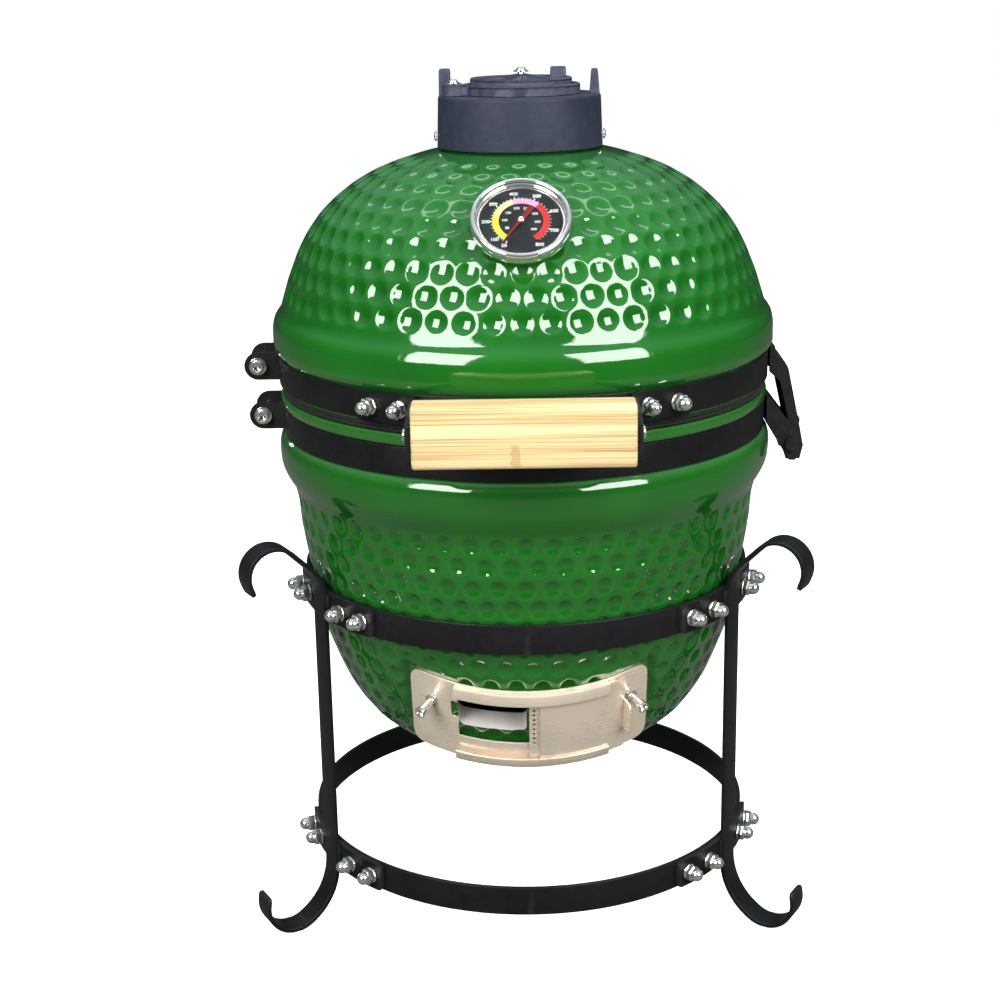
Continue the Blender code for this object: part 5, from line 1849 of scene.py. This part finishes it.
@dataclass
class Thermometer:
    """Bezel, dial with its coloured arc and numerals, needle and lens on a stem through the lid."""

    egg: Egg
    finishes: Finishes
    at: Triple = (0, -131 * MM, 492.5 * MM)
    tilt: float = 47.0
    dial_radius: float = 27.2 * MM
    face: float = 4.9 * MM
    bearing: float = 213.0
    fahrenheit: dict[int, float] = field(
        default_factory=lambda: {
            50: -151, 100: -131, 200: -91, 300: -52, 400: -12, 500: 27, 600: 70, 700: 111, 800: 149
        }
    )

    def placed(self) -> Matrix:
        """Placement of the dial: +Z is its normal and +Y its top.

        Returns:
            The placement.
        """
        s, c = math.sin(math.radians(self.tilt)), math.cos(math.radians(self.tilt))
        turn = Matrix(((1, 0, 0, 0), (0, s, -c, 0), (0, c, s, 0), (0, 0, 0, 1)))
        return Matrix.Translation(self.at) @ turn

    def build(self) -> None:
        """Build every piece."""
        place = self.placed()
        case = [
            (0, 0.8), (24, 0.8), (29.6, 1.2), (30.8, 2.2), (31, 3.4), (31, 8.0), (30.6, 9.1), (29.6, 9.7),
            (28.6, 9.6),
            (27.8, 9.0), (27.6, 8.2), (27.6, 3.8), (0, 3.8),
        ]
        draft = Draft().turn(scaled(case), 120, place=place)
        draft.turn(
            scaled([(27.5, 7.75), (27.0, 7.75), (24.9, 5.3), (24.9, 5.05), (27.5, 5.05)]), 120, place=place
        )
        draft.rod(3 * MM, place @ Vector((0, 0, -62 * MM)), place @ Vector((0, 0, 2 * MM)))
        self.egg.add("gauge_case", draft, self.finishes.bright, Body.LID, ("thermometer_case",), crease=50)
        draft = Draft().turn(rectangle(0, 4.1 * MM, self.dial_radius, self.face), 96, place=place)
        self.egg.add("gauge_dial", draft, self.finishes.dial, Body.LID, ("thermometer_dial",))
        lens = [(0, 7.9), (27.2, 7.9), (27.2, 8.5), (24, 8.8), (14, 9.0), (0, 9.0)]
        draft = Draft().turn(scaled(lens), 96, place=place)
        self.egg.add("gauge_lens", draft, self.finishes.lens, Body.LID, ("thermometer_lens",), crease=50)
        nut = [(3.3, -18.6), (7.4, -18.6), (8, -18), (8, -15.2), (7.4, -14.6), (3.3, -14.6)]
        draft = Draft().turn(scaled(nut), 6, place=place)
        self.egg.add("gauge_nut", draft, self.finishes.bright, Body.LID, ("thermometer_nut",))
        self._print(place)
        self._hand(place)

    def _print(self, place: Matrix) -> None:
        """The coloured arc, the tick marks and both rings of numerals.

        Args:
            place: Placement of the dial.
        """
        radius = self.dial_radius
        bands = (
            ("yellow", -146, -75, self.finishes.print_yellow),
            ("pale", -75, -20, self.finishes.print_pale),
            ("pink", -20, 40, self.finishes.print_pink),
            ("red", 40, 148, self.finishes.print_red),
        )
        low, high = self.face + 0.01 * MM, self.face + 0.12 * MM
        for label, start, end, finish in bands:
            outline = arc_points((0, 0), radius * 0.64, 90 - start, 90 - end, 24)
            outline += arc_points((0, 0), radius * 0.5, 90 - end, 90 - start, 24)
            draft = Draft().plate(outline, low, high, place=place)
            self.egg.add(f"dial_arc_{label}", draft, finish, Body.LID, slot="dial_black")
        draft = Draft()
        stops = sorted(self.fahrenheit.items())
        for (_, here), (_, there) in zip(stops, stops[1:]):
            for k in range(5):
                angle = math.radians(90 - (here + (there - here) * k / 5))
                reach = radius * (0.7 if k == 0 else 0.68)
                half = (0.3 if k == 0 else 0.16) * MM
                across = Vector((-math.sin(angle), math.cos(angle))) * half
                inner = Vector((math.cos(angle), math.sin(angle))) * radius * 0.645
                outer = Vector((math.cos(angle), math.sin(angle))) * reach
                corners = [inner - across, outer - across, outer + across, inner + across]
                draft.plate([(p.x, p.y) for p in corners], low, high, place=place)
        for value, bearing in stops:
            self._numeral(draft, str(value), bearing, radius * 0.785, 3.5 * MM, place)
        for value in range(50, 450, 50):
            share = np.interp(value * 9 / 5 + 32, [v for v, _ in stops], [b for _, b in stops])
            self._numeral(draft, str(value), float(share), radius * 0.37, 2.5 * MM, place)
        self.egg.add("dial_numerals", draft, self.finishes.print_white, Body.LID, slot="dial_black")

    def _numeral(
        self, draft: Draft, text: str, bearing: float, radius: float, size: float, place: Matrix
    ) -> None:
        """Add one upright number to the print.

        Args:
            draft: The print.
            text: The number.
            bearing: Its place on the dial, clockwise from the top in degrees.
            radius: Its distance from the dial's centre.
            size: Height of the letters' box.
            place: Placement of the dial.
        """
        curve = bpy.data.curves.new("numeral", "FONT")
        curve.body, curve.size, curve.extrude, curve.offset = text, size, 0.05 * MM, 0.025 * MM
        curve.align_x, curve.align_y = "CENTER", "CENTER"
        curve.resolution_u = 3
        made = bpy.data.objects.new("numeral", curve)
        bpy.context.scene.collection.objects.link(made)
        bpy.context.view_layer.update()
        mesh = bpy.data.meshes.new_from_object(made)
        angle = math.radians(90 - bearing)
        spot = Matrix.Translation((radius * math.cos(angle), radius * math.sin(angle), self.face + 0.07 * MM))
        mesh.transform(place @ spot)
        draft.bm.from_mesh(mesh)
        bpy.data.objects.remove(made, do_unlink=True)
        bpy.data.curves.remove(curve)
        bpy.data.meshes.remove(mesh)

    def _hand(self, place: Matrix) -> None:
        """The needle: a fine tip, a broad tail and a hub.

        Args:
            place: Placement of the dial.
        """
        tip = [(0.35, 20), (1.0, 1), (1.9, -8), (1.8, -12), (-1.8, -12), (-1.9, -8), (-1.0, 1), (-0.35, 20)]
        turned = place @ Matrix.Rotation(math.radians(-self.bearing), 4, "Z")
        draft = Draft().plate(scaled(tip), 5.6 * MM, 6.3 * MM, place=turned)
        hub = [(0, 5.2), (2.4, 5.2), (2.4, 6.4), (1.9, 6.8), (0, 6.8)]
        draft.turn(scaled(hub), 32, place=place)
        self.egg.add("gauge_needle", draft, self.finishes.needle, Body.NEEDLE, ("thermometer_needle",))
        cap = [(0, 6.7), (1.7, 6.7), (1.7, 7.0), (1.2, 7.35), (0, 7.5)]
        draft = Draft().turn(scaled(cap), 32, place=place)
        self.egg.add("needle_cap", draft, self.finishes.bright, Body.NEEDLE, slot="needle_red")


# ---------------------------------------------------------------- draught door


@dataclass
class DraughtDoor:
    """Bent steel frame with two rails, in which an ember screen and a door slide."""

    egg: Egg
    finishes: Finishes
    radius: float = 125.3 * MM
    sheet: float = 0.9 * MM

    @staticmethod
    def placed() -> Matrix:
        """Placement of the axis that every sheet is bent round."""
        return Matrix.Translation((0, -15.7 * MM, 208.7 * MM)) @ Matrix.Rotation(math.radians(21.4), 4, "X")

    def _bent(
        self,
        outline: Outline,
        inner: float,
        thickness: float,
        holes: list[Outline] | None = None,
        pitch: float = 2.5 * MM,
    ) -> Draft:
        """A flat blank of (arc, height) bent round the axis.

        Args:
            outline: The blank's outer edge.
            inner: Radius of its inner face.
            thickness: Its thickness.
            holes: Its holes.
            pitch: Distance between the edges it bends at.

        Returns:
            The bent sheet.
        """
        draft = Draft().plate(outline, -thickness, 0, Plane.XZ, holes)
        low, high = min(p[0] for p in outline), max(p[0] for p in outline)
        count = max(2, round((high - low) / pitch))
        draft.slice(0, [low + (high - low) * i / count for i in range(1, count)])
        for vertex in draft.bm.verts:
            vertex.co.x *= inner / self.radius
        return draft.bend(inner, self.placed())

    def build(self) -> None:
        """Build the frame, the screen, the door and the studs."""
        self._frame()
        self._screen()
        self._door()
        place = self.placed()
        for side, arc, level in (("left", -66, 12), ("right", 72, 11)):
            angle = math.degrees(arc * MM / self.radius)
            base = place @ standing_out(angle, self.radius + 0.3 * MM, level * MM)
            cone = [
                (0, 0), (4.6, 0), (4.4, 0.7), (2.7, 1.2), (2.9, 4), (3.2, 8), (3.7, 12.2), (4.0, 14.4),
                (3.7, 15), (2.5, 15),
                (2.3, 13.5), (0, 13.5),
            ]
            draft = Draft().turn(scaled(cone), 40, place=base)
            self.egg.add(
                f"door_stud_{side}", draft, self.finishes.bright, Body.BASE, (f"vent_stud_{side}",),
                crease=55,
            )

    def _frame(self) -> None:
        """The frame's plate with its window, and both folded rails."""
        corners = rectangle(-83, -31.7, 86, 33.2)
        window = [
            (-47.2, -13.5), (4.6, -13.5), (4.6, 22.5), (-47.2, 22.5), (-47.2, 17), (-52, 17), (-52, 3),
            (-47.2, 3),
        ]
        draft = self._bent(
            rounded(scaled(corners), 10 * MM, 7), self.radius - 1.4 * MM, 1.4 * MM,
            [rounded(scaled(window), 0.6 * MM, 2)]
        )
        place = self.placed()
        span = tuple(math.degrees(a * MM / self.radius) for a in (-48, 54))
        face = self.radius - 0.3 * MM
        for edge, inward, lip in ((32.95, -1, 9), (-31.45, 1, 7)):
            fold = edge + inward * 1.2
            tip = edge + inward * lip
            out = self.radius / MM + 4.2
            section = [
                (face / MM, edge), (out - 0.8, edge), (out - 0.25, edge + inward * 0.25),
                (out, edge + inward * 0.8), (out, tip),
                (out - 1.2, tip), (out - 1.2, fold), (face / MM, fold),
            ]
            draft.turn(scaled(section), 260, span, place)
        self.egg.add("door_frame", draft, self.finishes.sheet, Body.BASE, ("vent_frame",), bevel=0.18 * MM)

    def _screen(self) -> None:
        """The ember screen: columns of small holes, and its left edge bent outward at both ends."""
        low, high = -29.9, 31.4
        outline = scaled(rectangle(1, low, 60, high))
        holes = [
            arc_points((4.3 * MM + i * 9 * MM, -11.5 * MM + j * 4.2 * MM), 1.35 * MM, 0, 330, 11)
            for i in range(6) for j in range(9)
        ]
        draft = self._bent(rounded(outline, 1 * MM, 2), self.radius + 0.5 * MM, self.sheet, holes)
        place = self.placed()
        for low, high in ((-25.5, -14), (14, 23.5)):
            angle = math.degrees(1.45 * MM / self.radius)
            inner, outer = self.radius / MM + 0.6, self.radius / MM + 1.62
            section = [
                (inner, low), (outer - 0.2, low), (outer, low + 1.5), (outer, high - 1.5),
                (outer - 0.2, high), (inner, high),
            ]
            draft.turn(scaled(section), 360 * 4, (angle - 0.2, angle + 0.25), place)
        self.egg.add("ember_screen", draft, self.finishes.sheet, Body.SCREEN, ("vent_screen",))

    def _door(self) -> None:
        """The plain door with its pull folded outward at the right edge."""
        outline = rounded(scaled(rectangle(8, -29.9, 66, 31.4)), 2.5 * MM, 4)
        draft = self._bent(outline, self.radius + 1.7 * MM, self.sheet)
        place = self.placed()
        inner, outer = self.radius / MM + 1.9, self.radius / MM + 10.9
        section = [(inner, -13), (outer - 3, -13), (outer, -9.5), (outer, 9.5), (outer - 3, 13), (inner, 13)]
        span = tuple(math.degrees(a * MM / self.radius) for a in (64.8, 66))
        draft.turn(rounded(scaled(section), 1.0 * MM, 2), 360 * 3, span, place)
        self.egg.add("sliding_door", draft, self.finishes.sheet, Body.DOOR, ("vent_door",), bevel=0.2 * MM)


# ---------------------------------------------------------------- inside the bowl


@dataclass
class FireInside:
    """Fire box, fire ring, charcoal grate and cooking grid."""

    egg: Egg
    finishes: Finishes
    frame: dict

    def build(self) -> None:
        """Build the ring and both grates, and dress the fire box."""
        box = self.frame["nodes"]["fire_box"]
        dress(box, self.finishes.clay)
        soften(box, 1.2 * MM, 35, harden=False)
        section = rounded(scaled([(140, 272.4), (143, 346), (130, 346), (128, 272.4)]), 2.5 * MM, 4)
        self.egg.add("clay_ring", Draft().turn(section, 192), self.finishes.clay, Body.BASE, ("fire_ring",))
        self._grate()
        self._grid()

    def _grate(self) -> None:
        """The cast grate with its long slots."""
        radius = 98.5 * MM
        holes = []
        for i in range(-5, 6):
            y = i * 16 * MM
            half = math.sqrt((radius - 8 * MM) ** 2 - (abs(y) + 4 * MM) ** 2)
            spans = ((-half, -4 * MM), (4 * MM, half)) if half > 14 * MM else ()
            for a, b in spans:
                holes.append(rounded(rectangle(a, y - 4 * MM, b, y + 4 * MM), 3.6 * MM, 4))
        draft = Draft().plate(arc_points((0, 0), radius, 0, 357, 119), 190.4 * MM, 198 * MM, holes=holes)
        self.egg.add("cast_grate", draft, self.finishes.iron, Body.BASE, ("charcoal_grate",), bevel=0.8 * MM)

    def _grid(self) -> None:
        """The welded rod grid: a rim, two cross rods and many bars."""
        draft = Draft()
        tube = [
            (135.6 + 2.4 * math.cos(a), 348.9 + 2.4 * math.sin(a))
            for a in [math.radians(30 * k) for k in range(12)]
        ]
        draft.turn(scaled(tube), 180)
        for i in range(-12, 13):
            y = i * 10.6 * MM
            half = math.sqrt((135 * MM) ** 2 - y**2)
            if half > 12 * MM:
                draft.rod(1.9 * MM, Vector((-half, y, 349.3 * MM)), Vector((half, y, 349.3 * MM)), 10)
        for x in (-45 * MM, 45 * MM):
            half = math.sqrt((135 * MM) ** 2 - x**2)
            draft.rod(1.9 * MM, Vector((x, -half, 348.4 * MM)), Vector((x, half, 348.4 * MM)), 10)
        self.egg.add("rod_grid", draft, self.finishes.bright, Body.BASE, ("cooking_grid",))


# ---------------------------------------------------------------- studio


@dataclass
class Studio:
    """Floor, softboxes, world and camera."""

    egg: Egg
    eye: Triple = (0.0, -1.229, 0.638)
    pitch: float = 16.16
    yaw: float = -0.82
    roll: float = 1.0
    lens: float = 64.95

    def build(self) -> None:
        """Set everything up."""
        self._floor()
        self._world()
        self._softbox("key_left", (-0.95, -1.25, 1.15), (0.85, 1.15), 31)
        self._softbox("key_right", (1.0, -1.2, 1.15), (0.95, 1.1), 32)
        self._softbox("top", (0.0, 1.0, 1.75), (1.6, 0.9), 28, mirrored=False)
        self._softbox("strip", (0.0, 0.3, 1.8), (1.5, 0.22), 2.2)
        self._camera()
        bpy.context.scene.view_settings.view_transform = "Standard"
        bpy.context.scene.view_settings.look = "None"

    def _floor(self) -> None:
        """A plain pale floor, bright to the camera and dim in reflections."""
        mesh = bpy.data.meshes.new("floor")
        bm = bmesh.new()
        rows = []
        for y in (-4.0, -1.0, 1.0, 4.0):
            rows.append([bm.verts.new((x, y, -0.0002)) for x in (-5.0, 5.0)])
        for here, there in zip(rows, rows[1:]):
            bm.faces.new((here[0], here[1], there[1], there[0]))
        bm.to_mesh(mesh)
        bm.free()
        mesh.shade_smooth()
        material = bpy.data.materials.new("studio_floor")
        material.use_nodes = True
        recipe = Recipe(material.node_tree)
        tree = material.node_tree
        pale = tree.nodes["Principled BSDF"]
        pale.inputs["Roughness"].default_value = 0.9
        pale.inputs["Specular IOR Level"].default_value = 0.1
        pale.inputs["Emission Color"].default_value = (1, 1, 1, 1)
        pale.inputs["Emission Strength"].default_value = 0.72
        shade = recipe.noise(recipe.node("TexCoord").outputs["Object"], 3, 2)
        tree.links.new(
            recipe.ramp(shade, [(0.3, (0.78, 0.78, 0.78)), (0.7, (0.82, 0.82, 0.82))]),
            pale.inputs["Base Color"],
        )
        dim = recipe.node("BsdfDiffuse", {"Color": (0.1, 0.1, 0.095, 1)})
        seen = recipe.node("LightPath").outputs["Is Camera Ray"]
        mixed = recipe.node("MixShader", {0: seen, 1: dim.outputs[0], 2: pale.outputs[0]})
        tree.links.new(mixed.outputs[0], tree.nodes["Material Output"].inputs["Surface"])
        mesh.materials.append(material)
        floor = bpy.data.objects.new("studio_floor", mesh)
        bpy.context.scene.collection.objects.link(floor)

    def _world(self) -> None:
        """White towards the camera, softer grey for everything else."""
        world = bpy.data.worlds.new("studio")
        world.use_nodes = True
        bpy.context.scene.world = world
        tree = world.node_tree
        tree.nodes.clear()
        recipe = Recipe(tree)
        path = recipe.node("LightPath").outputs
        seen = recipe.node("Background", {"Color": (1, 1, 1, 1), "Strength": 1.0})
        height = recipe.node(
            "SeparateXYZ", {"Vector": recipe.node("TexCoord").outputs["Generated"]}
        ).outputs["Z"]
        ceiling = recipe.node(
            "MapRange", {"Value": height, "From Min": 0.2, "From Max": 0.95, "To Min": 0.035, "To Max": 0.6}
        )
        dome = recipe.node(
            "MapRange", {"Value": height, "From Min": 0.0, "From Max": 1.0, "To Min": 0.2, "To Max": 0.8}
        )
        mirrored = recipe.node(
            "Background", {"Color": (0.72, 0.95, 1, 1), "Strength": ceiling.outputs["Result"]}
        )
        lit = recipe.node("Background", {"Color": (0.96, 0.98, 1, 1), "Strength": dome.outputs["Result"]})
        soft = recipe.node("MixShader", {0: path["Is Glossy Ray"], 1: lit.outputs[0], 2: mirrored.outputs[0]})
        mixed = recipe.node("MixShader", {0: path["Is Camera Ray"], 1: soft.outputs[0], 2: seen.outputs[0]})
        out = recipe.node("OutputWorld")
        tree.links.new(mixed.outputs[0], out.inputs["Surface"])

    def _softbox(self, name: str, at: Triple, size: Point, power: float, mirrored: bool = True) -> None:
        """A large area light aimed at the egg, seen in its reflections or not.

        Args:
            name: The light's name.
            at: Its place from the egg's axis.
            size: Its width and height.
            power: Its power in watts.
            mirrored: Whether reflections show it.
        """
        lamp = bpy.data.lights.new(name, "AREA")
        lamp.shape = "RECTANGLE"
        lamp.size, lamp.size_y = size
        lamp.energy = power
        made = bpy.data.objects.new(name, lamp)
        bpy.context.scene.collection.objects.link(made)
        made.visible_glossy = mirrored
        made.location = Vector(at) + Vector((self.egg.x, self.egg.y, 0))
        aim = Vector((self.egg.x, self.egg.y, 0.33)) - made.location
        made.rotation_euler = aim.to_track_quat("-Z", "Y").to_euler()

    def _camera(self) -> None:
        """The camera, slightly above the grill and level with its front."""
        camera = bpy.data.cameras.new("camera")
        camera.lens = self.lens
        camera.sensor_width = 36
        made = bpy.data.objects.new("camera", camera)
        bpy.context.scene.collection.objects.link(made)
        cy, sy = math.cos(math.radians(self.yaw)), math.sin(math.radians(self.yaw))
        cp, sp = math.cos(math.radians(self.pitch)), math.sin(math.radians(self.pitch))
        cr, sr = math.cos(math.radians(self.roll)), math.sin(math.radians(self.roll))
        forward = Vector((cp * sy, cp * cy, -sp))
        right = cr * Vector((cy, -sy, 0)) - sr * Vector((sp * sy, sp * cy, cp))
        up = sr * Vector((cy, -sy, 0)) + cr * Vector((sp * sy, sp * cy, cp))
        turn = Matrix((right, up, -forward)).transposed().to_4x4()
        made.matrix_world = Matrix.Translation(Vector(self.eye) + Vector((self.egg.x, self.egg.y, 0))) @ turn
        bpy.context.scene.camera = made


# ---------------------------------------------------------------- assembly


def main() -> None:
    """Build the grill's looks piece by piece."""
    logging.basicConfig(level=logging.INFO, format="%(message)s")
    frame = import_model()
    egg = Egg.found()
    finishes = Finishes()
    door = DraughtDoor(egg, finishes)
    gauge = Thermometer(egg, finishes)
    EggBody(egg, finishes, door.placed()).build(gauge.placed())
    Stand(egg, finishes).build()
    ClampBand(egg, finishes, "base_band", 340.7 * MM, 164.3 * MM, Body.BASE).build()
    ClampBand(egg, finishes, "lid_band", 375.2 * MM, 166.2 * MM, Body.LID).build()
    Hinge(finishes, frame).build()
    Handle(egg, finishes).build()
    ChimneyCap(egg, finishes).build()
    gauge.build()
    door.build()
    FireInside(egg, finishes, frame).build()
    Studio(egg).build()


if __name__ == "__main__":
    main()
